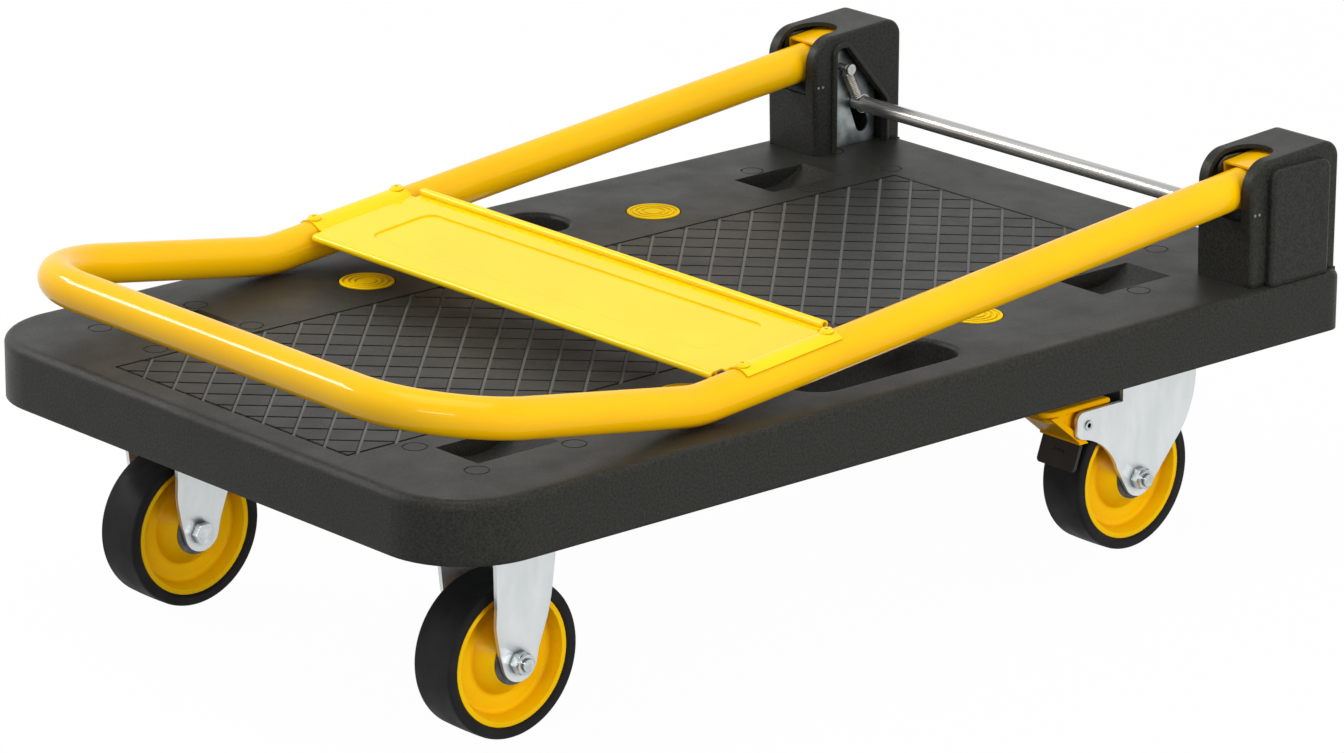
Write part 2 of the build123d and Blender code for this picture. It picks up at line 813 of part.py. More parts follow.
with BuildPart() as hinge_pins:
    for side in sides.values():
        with BuildSketch(upright(side * handle_y + bracket_outer)):
            with Locations((pivot_x, pivot_z)):
                Circle(hinge_pin_diameter / 2)
        extrude(amount=2 * bracket_outer)
save(hinge_pins, "hinge_pins")

# Handle

tube_start = (pivot_x + tube_end * slope_cos, pivot_z + tube_end * slope_sin)
handle_points = [
    (tube_start[0], -handle_y, tube_start[1]),
    (kink_x, -handle_y, kink_z),
    (grip_x, -handle_y, grip_z),
    (grip_x, handle_y, grip_z),
    (kink_x, handle_y, kink_z),
    (tube_start[0], handle_y, tube_start[1]),
]
handle_bends = [kink_radius, grip_corner_radius, grip_corner_radius, kink_radius]
plate_saddle_inner = tube_radius + loose_fit
plate_saddle_outer = plate_saddle_inner + plate_sheet
rivet_hole = rivet_diameter / 2 + loose_fit

with BuildPart() as handle_tube:
    with BuildLine():
        handle_path = FilletPolyline(*handle_points, radius=handle_bends)
    with BuildSketch(Plane(origin=handle_path @ 0, z_dir=handle_path % 0)):
        Circle(tube_radius)
        Circle(tube_radius - tube_wall, mode=Mode.SUBTRACT)
    sweep()
    for side in sides.values():
        with BuildSketch(upright(side * handle_y + tube_diameter)):
            with Locations((pivot_x, pivot_z)):
                Circle(pivot_bush_diameter / 2 + loose_fit)
        extrude(amount=2 * tube_diameter, mode=Mode.SUBTRACT)
    with BuildSketch(above_tube(0)):
        with Locations((-plate_from_pivot, 0)):
            with GridLocations(rivet_spacing, 2 * handle_y, 2, 2):
                Circle(rivet_hole)
    extrude(amount=tube_diameter, mode=Mode.SUBTRACT)
save(handle_tube, "handle_tube")

# Cross plate and its rivets

plate_top = tube_radius - plate_drop
plate_bottom = plate_top - plate_sheet
flap_sin = sin(radians(plate_flap_angle))
flap_cos = cos(radians(plate_flap_angle))
saddle_start = handle_y - sqrt(plate_saddle_inner**2 - plate_bottom**2)
saddle_end = handle_y - sqrt(plate_saddle_outer**2 - plate_top**2)
flap_inner = (handle_y + plate_saddle_inner * flap_sin, plate_saddle_inner * flap_cos)
flap_outer = (handle_y + plate_saddle_outer * flap_sin, plate_saddle_outer * flap_cos)
plate_half_width = saddle_end - plate_edge_gap
roll_centre = plate_length / 2 - plate_roll_radius


def across_tube(distance):
    """Plane square to the folded tubes: sketch x is Y, sketch y is away from the deck."""
    origin = (pivot_x + distance * slope_cos, 0, pivot_z + distance * slope_sin)
    return Plane(origin=origin, x_dir=(0, 1, 0), z_dir=(slope_cos, 0, slope_sin))


with BuildPart() as cross_plate:
    with BuildSketch(across_tube(-plate_from_pivot - plate_flap_length / 2)):
        with BuildLine():
            Line((0, plate_bottom), (saddle_start, plate_bottom))
            ThreePointArc((saddle_start, plate_bottom), (handle_y, plate_saddle_inner), flap_inner)
            Line(flap_inner, flap_outer)
            ThreePointArc(flap_outer, (handle_y, plate_saddle_outer), (saddle_end, plate_top))
            Line((saddle_end, plate_top), (0, plate_top))
            mirror(about=Plane.YZ)
        make_face()
    extrude(amount=plate_flap_length)
    # the middle of the plate is longer than its saddles, and its two long edges are rolled
    with BuildSketch(above_tube(plate_bottom)):
        with Locations((-plate_from_pivot, 0)):
            Rectangle(plate_length - 2 * plate_roll_radius, 2 * plate_half_width)
    extrude(amount=plate_sheet)
    with BuildSketch(along_tube(plate_half_width)):
        with Locations((-plate_from_pivot - roll_centre, plate_top - plate_roll_radius)):
            Circle(plate_roll_radius)
            Circle(plate_roll_radius - plate_sheet, mode=Mode.SUBTRACT)
        with Locations((-plate_from_pivot + roll_centre, plate_bottom + plate_roll_radius)):
            Circle(plate_roll_radius)
            Circle(plate_roll_radius - plate_sheet, mode=Mode.SUBTRACT)
    extrude(amount=2 * plate_half_width)
    # field pressed down into the sheet
    with BuildSketch(above_tube(plate_top)):
        with Locations((-plate_from_pivot, 0)):
            RectangleRounded(field_length, field_width, field_corner)
    extrude(amount=-field_depth, mode=Mode.SUBTRACT)
    with BuildSketch(above_tube(plate_bottom)):
        with Locations((-plate_from_pivot, 0)):
            RectangleRounded(field_length + plate_sheet, field_width + plate_sheet, field_corner)
    extrude(amount=-field_depth)
    with BuildSketch(above_tube(0)):
        with Locations((-plate_from_pivot, 0)):
            with GridLocations(rivet_spacing, 2 * handle_y, 2, 2):
                Circle(rivet_hole)
    extrude(amount=tube_diameter, mode=Mode.SUBTRACT)
save(cross_plate, "cross_plate")

with BuildPart() as cross_plate_rivets:
    with BuildSketch(above_tube(plate_saddle_outer)):
        with Locations((-plate_from_pivot, 0)):
            with GridLocations(rivet_spacing, 2 * handle_y, 2, 2):
                Circle(rivet_head / 2)
    extrude(amount=rivet_head_height, taper=35)
    with BuildSketch(above_tube(plate_saddle_outer + rivet_head_height)):
        with Locations((-plate_from_pivot, 0)):
            with GridLocations(rivet_spacing, 2 * handle_y, 2, 2):
                Circle(rivet_dimple / 2)
    extrude(amount=-rivet_head_height / 2, mode=Mode.SUBTRACT)
    with BuildSketch(above_tube(plate_saddle_outer)):
        with Locations((-plate_from_pivot, 0)):
            with GridLocations(rivet_spacing, 2 * handle_y, 2, 2):
                Circle(rivet_diameter / 2)
    extrude(amount=-plate_saddle_outer + tube_radius - tube_wall - rivet_tail_length)
    with BuildSketch(above_tube(sqrt((tube_radius - tube_wall) ** 2 - (rivet_tail / 2) ** 2))):
        with Locations((-plate_from_pivot, 0)):
            with GridLocations(rivet_spacing, 2 * handle_y, 2, 2):
                Circle(rivet_tail / 2)
    extrude(amount=-rivet_tail_length)
save(cross_plate_rivets, "cross_plate_rivets")

# Pivot brackets and bushes at the ends of the handle

channel_back = sqrt(channel_radius**2 - channel_outer**2)
lower_angle = radians(-channel_lower_angle)
channel_corner = (channel_radius * cos(lower_angle), channel_radius * sin(lower_angle))
channel_bottom = -tube_radius - loose_fit

with BuildSketch() as channel_side:
    with BuildLine():
        Line((-channel_front, channel_bottom), (-channel_front, channel_outer))
        Line((-channel_front, channel_outer), (channel_back, channel_outer))
        ThreePointArc((channel_back, channel_outer), (channel_radius, 0), channel_corner)
        Line(channel_corner, (channel_lower_end, channel_bottom))
        Line((channel_lower_end, channel_bottom), (-channel_front, channel_bottom))
    make_face()


def pivot_bracket(side):
    """Channel over one end of the handle's tube, open below."""
    middle = side * handle_y
    with BuildPart() as bracket:
        with BuildSketch(along_tube(middle + channel_outer)):
            add(channel_side.sketch)
        extrude(amount=2 * channel_outer)
        top_face = bracket.faces().sort_by(Axis((0, 0, 0), (-slope_sin, 0, slope_cos)))[-1]
        fillet(top_face.edges().filter_by(Axis((0, 0, 0), (slope_cos, 0, slope_sin))), channel_sheet)
        with BuildSketch(along_tube(middle + channel_inner)):
            with Locations((0, channel_inner - 2 * channel_radius)):
                Rectangle(4 * channel_radius, 4 * channel_radius)
        extrude(amount=2 * channel_inner, mode=Mode.SUBTRACT)
        with BuildSketch(along_tube(middle + channel_outer)):
            Circle(pivot_bush_diameter / 2 + loose_fit)
        extrude(amount=2 * channel_outer, mode=Mode.SUBTRACT)
    return bracket


for side_name, side in sides.items():
    save(pivot_bracket(side), f"{side_name}_pivot_bracket")

with BuildPart() as pivot_bushes:
    for side in sides.values():
        with BuildSketch(upright(side * handle_y + channel_outer)):
            with Locations((pivot_x, pivot_z)):
                Circle(pivot_bush_diameter / 2)
                Circle(hinge_pin_diameter / 2 + running_fit, mode=Mode.SUBTRACT)
        extrude(amount=2 * channel_outer)
save(pivot_bushes, "pivot_bushes")

# Release rod and its clips

clip_offset = bracket_outer + wide_gap

with BuildPart() as release_rod:
    with BuildSketch(upright(handle_y + rod_end)):
        with Locations((rod_x, rod_z)):
            Circle(rod_diameter / 2)
    extrude(amount=2 * (handle_y + rod_end))
    chamfer(release_rod.edges(), rod_diameter / 10)
save(release_rod, "release_rod")

with BuildPart() as release_rod_clips:
    for side in sides.values():
        with BuildSketch(outward(rod_x, side * (handle_y + clip_offset), rod_z, side)):
            Circle(rod_clip_diameter / 2)
            Circle(rod_diameter / 2 + loose_fit, mode=Mode.SUBTRACT)
        extrude(amount=rod_clip_thickness)
save(release_rod_clips, "release_rod_clips")

# Spring studs and return springs

stud_length = hook_offset + spring_wire / 2 + side_gap

with BuildPart() as spring_studs:
    for side in sides.values():
        with BuildSketch(outward(stud_x, side * (handle_y - bracket_inner), stud_z, -side)):
            Circle(stud_diameter / 2)
        extrude(amount=stud_length - bracket_inner)
        with BuildSketch(outward(stud_x, side * (handle_y - stud_length), stud_z, -side)):
            Circle(stud_head / 2)
        extrude(amount=stud_head_height)
    fillet(spring_studs.edges().group_by(Axis.Y)[0] + spring_studs.edges().group_by(Axis.Y)[-1], stud_dome)
save(spring_studs, "spring_studs")


def spring_nodes(side):
    """Points and directions along the wire, from the hook on the stud to the hook on the rod."""
    stud_point = Vector(stud_x, side * (handle_y - spring_offset), stud_z)
    rod_point = Vector(rod_x, side * (handle_y - spring_offset), rod_z)
    along = (rod_point - stud_point).normalized()
    away = Vector(0, -side, 0)
    across = away.cross(along)
    length = (rod_point - stud_point).length
    stud_hook = stud_diameter / 2 + side_gap + spring_wire / 2
    rod_hook = rod_diameter / 2 + side_gap + spring_wire / 2
    advance = (length - stud_hook - rod_hook) / spring_turns
    hook_steps = 4
    nodes = []
    for step in range(hook_steps):
        angle = radians(spring_hook_turn) * (step / hook_steps - 1)
        point = stud_point + away * spring_mean_radius
        point = point + along * (stud_hook * cos(angle)) + across * (stud_hook * sin(angle))
        nodes.append((point, across * cos(angle) - along * sin(angle)))
    for half_turn in range(2 * spring_turns + 1):
        angle = pi * half_turn
        point = stud_point + along * (stud_hook + advance * half_turn / 2)
        point = point + away * (spring_mean_radius * cos(angle))
        heading = across * (spring_mean_radius * cos(angle)) + along * (advance / (2 * pi))
        if half_turn in (0, 2 * spring_turns):
            heading = across
        nodes.append((point, heading.normalized()))
    for step in range(1, hook_steps + 1):
        angle = pi - radians(spring_hook_turn) * step / hook_steps
        point = rod_point + away * spring_mean_radius
        point = point + along * (rod_hook * cos(angle)) + across * (rod_hook * sin(angle))
        nodes.append((point, along * sin(angle) - across * cos(angle)))
    return nodes


def pair_of_arcs(start, start_heading, end, end_heading):
    """Middle point and middle heading of two arcs that join two points smoothly."""
    span = end - start
    bend = 1 - start_heading.dot(end_heading)
    lean = span.dot(start_heading + end_heading)
    reach = (sqrt(lean**2 + 2 * bend * span.dot(span)) - lean) / (2 * bend)
    first_control = start + start_heading * reach
    second_control = end - end_heading * reach
    return (first_control + second_control) * 0.5, (second_control - first_control).normalized()


def least_gap(points):
    """Smallest distance between wire surfaces that are not neighbours along the wire."""
    apart = 3 * spring_wire
    travelled = [0.0]
    for first, second in zip(points, points[1:]):
        travelled.append(travelled[-1] + (second - first).length)
    gaps = [
        (second - first).length - spring_wire
        for i, first in enumerate(points)
        for j, second in enumerate(points[:i])
        if travelled[i] - travelled[j] > apart
    ]
    return min(gaps)


def return_spring(side):
    """One coil spring with a hook at each end, as a single tube."""
    nodes = spring_nodes(side)
    first_point, first_heading = nodes[0]
    last_point, last_heading = nodes[-1]
    with BuildPart() as spring:
        with BuildLine() as wire:
            Line(first_point - first_heading * spring_wire, first_point)
            for (start, heading), (end, end_heading) in zip(nodes, nodes[1:]):
                middle, middle_heading = pair_of_arcs(start, heading, end, end_heading)
                TangentArc(start, middle, tangent=heading)
                TangentArc(middle, end, tangent=middle_heading)
            Line(last_point, last_point + last_heading * spring_wire)
        with BuildSketch(Plane(origin=first_point - first_heading * spring_wire, z_dir=first_heading)):
            Circle(spring_wire / 2)
        sweep()
    points = [edge @ (step / 6) for edge in wire.edges() for step in range(6)]
    print("least gap in a return spring:", round(least_gap(points), 2))
    return spring


for side_name, side in sides.items():
    save(return_spring(side), f"{side_name}_return_spring")

# Wheels

hub_radius = hub_diameter / 2
wheel_radius = wheel_diameter / 2
sleeve_radius = sleeve_diameter / 2


def wheel_plane(x, y):
    """Plane through an axle: sketch x runs out from the axle, sketch y is Y."""
    return Plane(origin=(x, y, axle_z), x_dir=(1, 0, 0), z_dir=(0, 0, 1))


def tyre(x, y):
    """Solid tyre with round shoulders and a slight crown."""
    bore = hub_radius + loose_fit
    side_face = tyre_width / 2
    crown_edge = wheel_radius - tyre_crown
    shoulder_x = crown_edge - tyre_shoulder
    shoulder_y = side_face - tyre_shoulder
    round_x = shoulder_x + tyre_shoulder * cos(radians(45))
    round_y = shoulder_y + tyre_shoulder * sin(radians(45))
    with BuildPart() as piece:
        with BuildSketch(wheel_plane(x, y)):
            with BuildLine():
                Line((bore, 0), (bore, rim_width / 2))
                Line((bore, rim_width / 2), (bore + tyre_width / 2 - rim_width / 2, side_face))
                Line((bore + tyre_width / 2 - rim_width / 2, side_face), (shoulder_x, side_face))
                ThreePointArc((shoulder_x, side_face), (round_x, round_y), (crown_edge, shoulder_y))
                TangentArc((wheel_radius, 0), (crown_edge, shoulder_y), tangent=(0, 1))
                mirror(about=Plane.XZ)
            make_face()
        revolve(axis=Axis((x, y, axle_z), (0, 1, 0)))
    return piece


def hub(x, y):
    """Dished hub: a flat rim edge, a valley and a flared boss on both faces."""
    boss_radius = boss_diameter / 2
    valley = hub_radius - rim_edge - (rim_width - hub_web) / 5
    bore = sleeve_radius + running_fit
    profile = [
        (bore, -boss_width / 2),
        (bore, boss_width / 2),
        (boss_radius, boss_width / 2),
        (boss_radius + boss_flare, hub_web / 2),
        (valley, hub_web / 2),
        (hub_radius - rim_edge, rim_width / 2),
        (hub_radius, rim_width / 2),
        (hub_radius, -rim_width / 2),
        (hub_radius - rim_edge, -rim_width / 2),
        (valley, -hub_web / 2),
        (boss_radius + boss_flare, -hub_web / 2),
        (boss_radius, -boss_width / 2),
    ]
    with BuildPart() as piece:
        with BuildSketch(wheel_plane(x, y)) as section:
            with BuildLine():
                Polyline(*profile, close=True)
            make_face()
            corners = section.vertices().filter_by(lambda corner: abs(abs(corner.Y) - hub_web / 2) < 0.01)
            fillet(corners, rim_edge)
        revolve(axis=Axis((x, y, axle_z), (0, 1, 0)))
    return piece


def hub_caps(x, y):
    """Two flat rings on the faces of a hub's boss."""
    with BuildPart() as piece:
        for side in (-1, 1):
            with BuildSketch(outward(x, y + side * boss_width / 2, axle_z, side)):
                Circle(hub_cap_diameter / 2)
                Circle(sleeve_radius + side_gap, mode=Mode.SUBTRACT)
            extrude(amount=hub_cap_thickness)
    return piece


wheel_spots = {}
for side_name, side in sides.items():
    wheel_spots[f"front_{side_name}"] = (front_caster_x, side * caster_y)
    wheel_spots[f"rear_{side_name}"] = (rear_axle_x, side * caster_y)

for wheel_name, (x, y) in wheel_spots.items():
    save(tyre(x, y), f"{wheel_name}_tyre")
    save(hub(x, y), f"{wheel_name}_hub")
    save(hub_caps(x, y), f"{wheel_name}_hub_caps")

# Axles

bolt_hole = axle_diameter / 2 + loose_fit


def axle_bolt(x, side):
    """Axle bolt with its head on the inner leg of the fork."""
    head_y = side * (caster_y - fork_half_width)
    with BuildPart() as bolt:
        with BuildSketch(outward(x, head_y, axle_z, side)):
            RegularPolygon(axle_head_flats / 2, 6, major_radius=False)
        extrude(amount=-axle_head_height)
        with BuildSketch(outward(x, head_y, axle_z, side)):
            Circle(axle_diameter / 2)
        extrude(amount=2 * fork_half_width + axle_nut_height + axle_end)
    return bolt


def axle_nut(x, side):
    """Lock nut on the outer leg of the fork, with a narrower collar."""
    seat_y = side * (caster_y + fork_half_width)
    with BuildPart() as nut:
        with BuildSketch(outward(x, seat_y, axle_z, side)):
            Circle(axle_head_flats / 2)
        extrude(amount=axle_nut_height)
        with BuildSketch(outward(x, seat_y, axle_z, side)):
            RegularPolygon(axle_head_flats / 2, 6, major_radius=False)
        extrude(amount=axle_nut_height * 0.75)
        with BuildSketch(outward(x, seat_y, axle_z, side)):
            Circle(bolt_hole)
        extrude(amount=axle_nut_height, mode=Mode.SUBTRACT)
    return nut


def axle_sleeve(x, side):
    """Spacer tube between the legs of the fork, on which the hub runs."""
    with BuildPart() as sleeve:
        with BuildSketch(upright(side * caster_y + fork_half_gap)):
            with Locations((x, axle_z)):
                Circle(sleeve_radius)
                Circle(bolt_hole, mode=Mode.SUBTRACT)
        extrude(amount=2 * fork_half_gap)
    return sleeve


front_bolts = [axle_bolt(front_caster_x, side).part for side in sides.values()]
front_nuts = [axle_nut(front_caster_x, side).part for side in sides.values()]
front_sleeves = [axle_sleeve(front_caster_x, side).part for side in sides.values()]

with BuildPart() as front_axle_bolts:
    add(front_bolts)
save(front_axle_bolts, "front_axle_bolts")

with BuildPart() as front_axle_nuts:
    add(front_nuts)
save(front_axle_nuts, "front_axle_nuts")

with BuildPart() as front_axle_sleeves:
    add(front_sleeves)
save(front_axle_sleeves, "front_axle_sleeves")

for side_name, side in sides.items():
    save(axle_bolt(rear_axle_x, side), f"rear_{side_name}_axle_bolt")
    save(axle_nut(rear_axle_x, side), f"rear_{side_name}_axle_nut")
    save(axle_sleeve(rear_axle_x, side), f"rear_{side_name}_axle_sleeve")

# Front forks


def tangent_point(point, centre, radius, hand):
    """Where a line from a point touches a circle, on one hand of it."""
    away = Vector(*point) - Vector(*centre)
    turn = degrees(atan2(away.Y, away.X)) + hand * degrees(acos(radius / away.length))
    return centre[0] + radius * cos(radians(turn)), centre[1] + radius * sin(radians(turn))


plate_underside = caster_height - caster_plate_thickness
leg_end = (front_caster_x + fork_end_shift, axle_z)
leg_waist = axle_z + leg_waist_height
leg_taper = axle_z + leg_taper_height
front_knee = (front_caster_x - leg_knee_front, leg_taper)
rear_knee = (front_caster_x + leg_knee_rear, leg_taper)
leg_bottom = axle_z - fork_end_radius
leg_bend = axle_z + leg_straight
leg_knee = axle_z + leg_knee_height

with BuildSketch() as front_leg:
    with BuildLine():
        Polyline(
            (front_caster_x - leg_half_length, caster_height),
            (front_caster_x + leg_half_length, caster_height),
            (front_caster_x + leg_waist_rear, leg_waist),
            rear_knee,
            tangent_point(rear_knee, leg_end, fork_end_radius, -1),
            tangent_point(front_knee, leg_end, fork_end_radius, 1),
            front_knee,
            (front_caster_x - leg_waist_front, leg_waist),
            close=True,
        )
    make_face()
    for knee in (front_knee, rear_knee):
        fillet(front_leg.vertices().sort_by_distance(knee)[0], 3 * fork_end_radius)
    with Locations(leg_end):
        Circle(fork_end_radius)
    with Locations((front_caster_x, axle_z)):
        Circle(bolt_hole, mode=Mode.SUBTRACT)

with BuildSketch() as caster_plate:
    RectangleRounded(caster_plate_length, caster_plate_width, caster_plate_corner)
    with GridLocations(caster_bolt_spacing_x, caster_bolt_spacing_y, 2, 2):
        Circle(caster_bolt_diameter / 2 + loose_fit, mode=Mode.SUBTRACT)


with BuildSketch() as leg_section:
    with BuildLine():
        Polyline(
            (fork_half_gap, leg_bottom),
            (fork_half_gap, leg_bend),
            (fork_half_gap + leg_knee_spread, leg_knee),
            (fork_half_gap + leg_top_spread, caster_height),
            (fork_half_width + leg_top_spread, caster_height),
            (fork_half_width + leg_knee_spread, leg_knee),
            (fork_half_width, leg_bend),
            (fork_half_width, leg_bottom),
            close=True,
        )
    make_face()
    mirror(about=Plane.YZ)


def front_legs(side):
    """Both legs of a front fork: straight at the axle, spread towards the plate, and cut to the side outline."""
    middle = side * caster_y
    with BuildPart() as legs:
        with BuildSketch(Plane(origin=(front_caster_x, middle, 0), x_dir=(0, 1, 0), z_dir=(1, 0, 0))):
            add(leg_section.sketch)
        extrude(amount=2 * leg_half_length, both=True)
        with BuildSketch(upright(middle + caster_plate_width / 2)):
            add(front_leg.sketch)
        extrude(amount=caster_plate_width, mode=Mode.INTERSECT)
    return legs


def front_fork(side):
    """Rigid caster fork: a plate with two legs."""
    middle = side * caster_y
    legs = front_legs(side)
    with BuildPart() as fork:
        with BuildSketch(Plane.XY.offset(plate_underside)):
            with Locations((front_caster_x, middle)):
                add(caster_plate.sketch)
        extrude(amount=caster_plate_thickness)
        add(legs.part)
    return fork


for side_name, side in sides.items():
    save(front_fork(side), f"front_{side_name}_fork")

# Rear swivel casters

race_top = crown_height + race_height
cup_bottom = race_top + race_gap
ball_z = race_top + race_gap / 2
ball_groove = ball_diameter / 2 + side_gap
flange_z = plate_underside + (caster_plate_thickness - king_pin_flange_height) * 0.8
crown_bottom = crown_height - fork_sheet


def swivel_plate(side):
    """Fixed top plate of a swivel caster, with the upper ball race below it."""
    spot = (rear_caster_x, side * caster_y)
    with BuildPart() as plate:
        with BuildSketch(Plane.XY.offset(plate_underside)):
            with Locations(spot):
                add(caster_plate.sketch)
        extrude(amount=caster_plate_thickness)
        with BuildSketch(Plane.XY.offset(plate_underside)):
            with Locations(spot):
                Circle(race_diameter / 2)
        extrude(amount=cup_bottom - plate_underside)
        with BuildSketch(Plane.XY.offset(cup_bottom)):
            with Locations(spot):
                Circle(king_pin_diameter / 2 + running_fit)
        extrude(amount=caster_height - cup_bottom, mode=Mode.SUBTRACT)
        with BuildSketch(Plane.XY.offset(flange_z - side_gap)):
            with Locations(spot):
                Circle(king_pin_flange / 2 + wide_gap)
        extrude(amount=caster_height - flange_z + side_gap, mode=Mode.SUBTRACT)
        with Locations((*spot, ball_z)):
            Torus(ball_circle / 2, ball_groove, mode=Mode.SUBTRACT)
    return plate


fork_end = (rear_axle_x + fork_end_shift, axle_z)
pedal_x = rear_caster_x - pedal_axis_reach
fork_corner = (rear_caster_x + fork_rear, axle_z + fork_rear_bend)
fork_back = (rear_caster_x + fork_rear_middle_x, axle_z + fork_rear_middle)
fork_foot = (rear_caster_x + fork_rear_foot_x, axle_z + fork_rear_foot)
arm_nose = rear_caster_x - brake_arm_reach
nose_top = (arm_nose, axle_z + brake_arm_top)
nose_bottom = (arm_nose, axle_z + brake_arm_bottom)
arm_step = (rear_caster_x - fork_front, axle_z + brake_arm_top)
throat_start = (rear_caster_x - throat_foot_x, axle_z + throat_foot)
throat_bend = (rear_caster_x - throat_middle_x, axle_z + throat_middle)
throat_end = (rear_caster_x - throat_top_x, axle_z + throat_top)

with BuildSketch() as swivel_leg:
    with BuildLine():
        Polyline(
            throat_end,
            nose_bottom,
            nose_top,
            arm_step,
            (rear_caster_x - fork_front, crown_height),
            (rear_caster_x + fork_rear, crown_height),
            fork_corner,
        )
        ThreePointArc(fork_corner, fork_back, fork_foot)
        Polyline(
            fork_foot,
            tangent_point(fork_foot, fork_end, fork_end_radius, -1),
            tangent_point(throat_start, fork_end, fork_end_radius, 1),
            throat_start,
        )
        ThreePointArc(throat_start, throat_bend, throat_end)
    make_face()
    for corner in (nose_bottom, nose_top):
        fillet(swivel_leg.vertices().sort_by_distance(corner)[0], brake_arm_round)
    with Locations(fork_end):
        Circle(fork_end_radius)
    with Locations((rear_axle_x, axle_z)):
        Circle(bolt_hole, mode=Mode.SUBTRACT)
    with Locations((pedal_x, pedal_axis_z)):
        Circle(pedal_pin_diameter / 2 + loose_fit, mode=Mode.SUBTRACT)


def swivel_fork(side):
    """Turning fork with the lower ball race on its crown and the brake arms in front."""
    middle = side * caster_y
    spot = (rear_caster_x, middle)
    crown_middle = rear_caster_x + (fork_rear - fork_front) / 2
    with BuildPart() as fork:
        with BuildSketch(Plane.XY.offset(crown_bottom)):
            with Locations((crown_middle, middle)):
                Rectangle(fork_rear + fork_front, 2 * fork_half_width)
            with Locations(spot):
                Circle(race_diameter / 2)
        extrude(amount=fork_sheet)
        with BuildSketch(Plane.XY.offset(crown_height)):
            with Locations(spot):
                Circle(race_diameter / 2)
        extrude(amount=race_height)
        for start in (middle + fork_half_width, middle - fork_half_gap):
            with BuildSketch(upright(start)):
                add(swivel_leg.sketch)
            extrude(amount=fork_sheet)
        with BuildSketch(Plane.XY.offset(crown_bottom)):
            with Locations(spot):
                Circle(king_pin_diameter / 2 + loose_fit)
        extrude(amount=fork_sheet + race_height, mode=Mode.SUBTRACT)
        with Locations((*spot, ball_z)):
            Torus(ball_circle / 2, ball_groove, mode=Mode.SUBTRACT)
    return fork


def king_pin(side):
    """Pin of a swivel head, with its head under the crown and a flange in the plate."""
    spot = (rear_caster_x, side * caster_y)
    with BuildPart() as pin:
        with BuildSketch(Plane.XY.offset(crown_bottom)):
            with Locations(spot):
                Circle(king_pin_head / 2)
        extrude(amount=-king_pin_head_height)
        with BuildSketch(Plane.XY.offset(crown_bottom)):
            with Locations(spot):
                Circle(king_pin_diameter / 2)
        extrude(amount=flange_z - crown_bottom)
        with BuildSketch(Plane.XY.offset(flange_z)):
            with Locations(spot):
                Circle(king_pin_flange / 2)
        extrude(amount=king_pin_flange_height - side_gap)
    return pin


def swivel_balls(side):
    """Ring of balls between the two races."""
    with BuildPart() as balls:
        with Locations((rear_caster_x, side * caster_y, ball_z)):
            with PolarLocations(ball_circle / 2, ball_count):
                Sphere(ball_diameter / 2)
    return balls


def pedal_pin(side):
    """Rivet on which the brake pedal turns, headed outside both arms."""
    with BuildPart() as pin:
        with BuildSketch(upright(side * caster_y + fork_half_width)):
            with Locations((pedal_x, pedal_axis_z)):
                Circle(pedal_pin_diameter / 2)
        extrude(amount=2 * fork_half_width)
        for hand in (-1, 1):
            with BuildSketch(outward(pedal_x, side * caster_y + hand * fork_half_width, pedal_axis_z, hand)):
                Circle(pedal_pin_head / 2)
            extrude(amount=pedal_pin_head_height, taper=20)
            end = side * caster_y + hand * (fork_half_width + pedal_pin_head_height)
            with BuildSketch(outward(pedal_x, end, pedal_axis_z, -hand)):
                Circle(pedal_pin_hollow / 2)
            extrude(amount=pedal_pin_hollow_depth, mode=Mode.SUBTRACT)
    return pin


for side_name, side in sides.items():
    save(swivel_plate(side), f"rear_{side_name}_swivel_plate")
    save(swivel_fork(side), f"rear_{side_name}_swivel_fork")
    save(king_pin(side), f"rear_{side_name}_king_pin")
    save(swivel_balls(side), f"rear_{side_name}_swivel_balls")
    save(pedal_pin(side), f"rear_{side_name}_pedal_pin")

# Foot brakes. Their outlines are drawn round the pedal's axis.

pedal_half = fork_half_gap - wide_gap
cheek_outer = pedal_half - pedal_cheek_inset
plate_underneath = pedal_plate_height - pedal_plate_thickness
press = radians(brake_travel)
axle_dx = rear_axle_x - pedal_x
axle_dz = axle_z - pedal_axis_z
pressed_x = axle_dx * cos(press) + axle_dz * sin(press)
pressed_z = axle_dz * cos(press) - axle_dx * sin(press)
shoe_bore = wheel_radius + wide_gap
foot = (-pedal_foot_x, -pedal_foot_drop)
heel = (pedal_heel_x, -pedal_foot_drop)
slope_top = (-pedal_plate_front + pedal_plate_thickness, plate_underneath)


def pedal_plane(y):
    """Plane across Y with its origin on the pedal's axis."""
    return Plane(origin=(pedal_x, y, pedal_axis_z), x_dir=(1, 0, 0), z_dir=(0, -1, 0))


def pedal_slab(middle, front, length, bottom, height):
    """Solid of the pedal's full width, with rounded front corners and soft edges."""
    with BuildPart() as piece:
        with BuildSketch(Plane.XY.offset(pedal_axis_z + bottom)) as outline:
            with Locations((pedal_x + front + length / 2, middle)):
                Rectangle(length, 2 * pedal_half)
            fillet(outline.vertices().group_by(Axis.X)[0], pedal_plate_corner)
        extrude(amount=height)
        fillet(piece.edges().group_by(Axis.Z)[0] + piece.edges().group_by(Axis.Z)[-1], pedal_edge_round)
    return piece.part


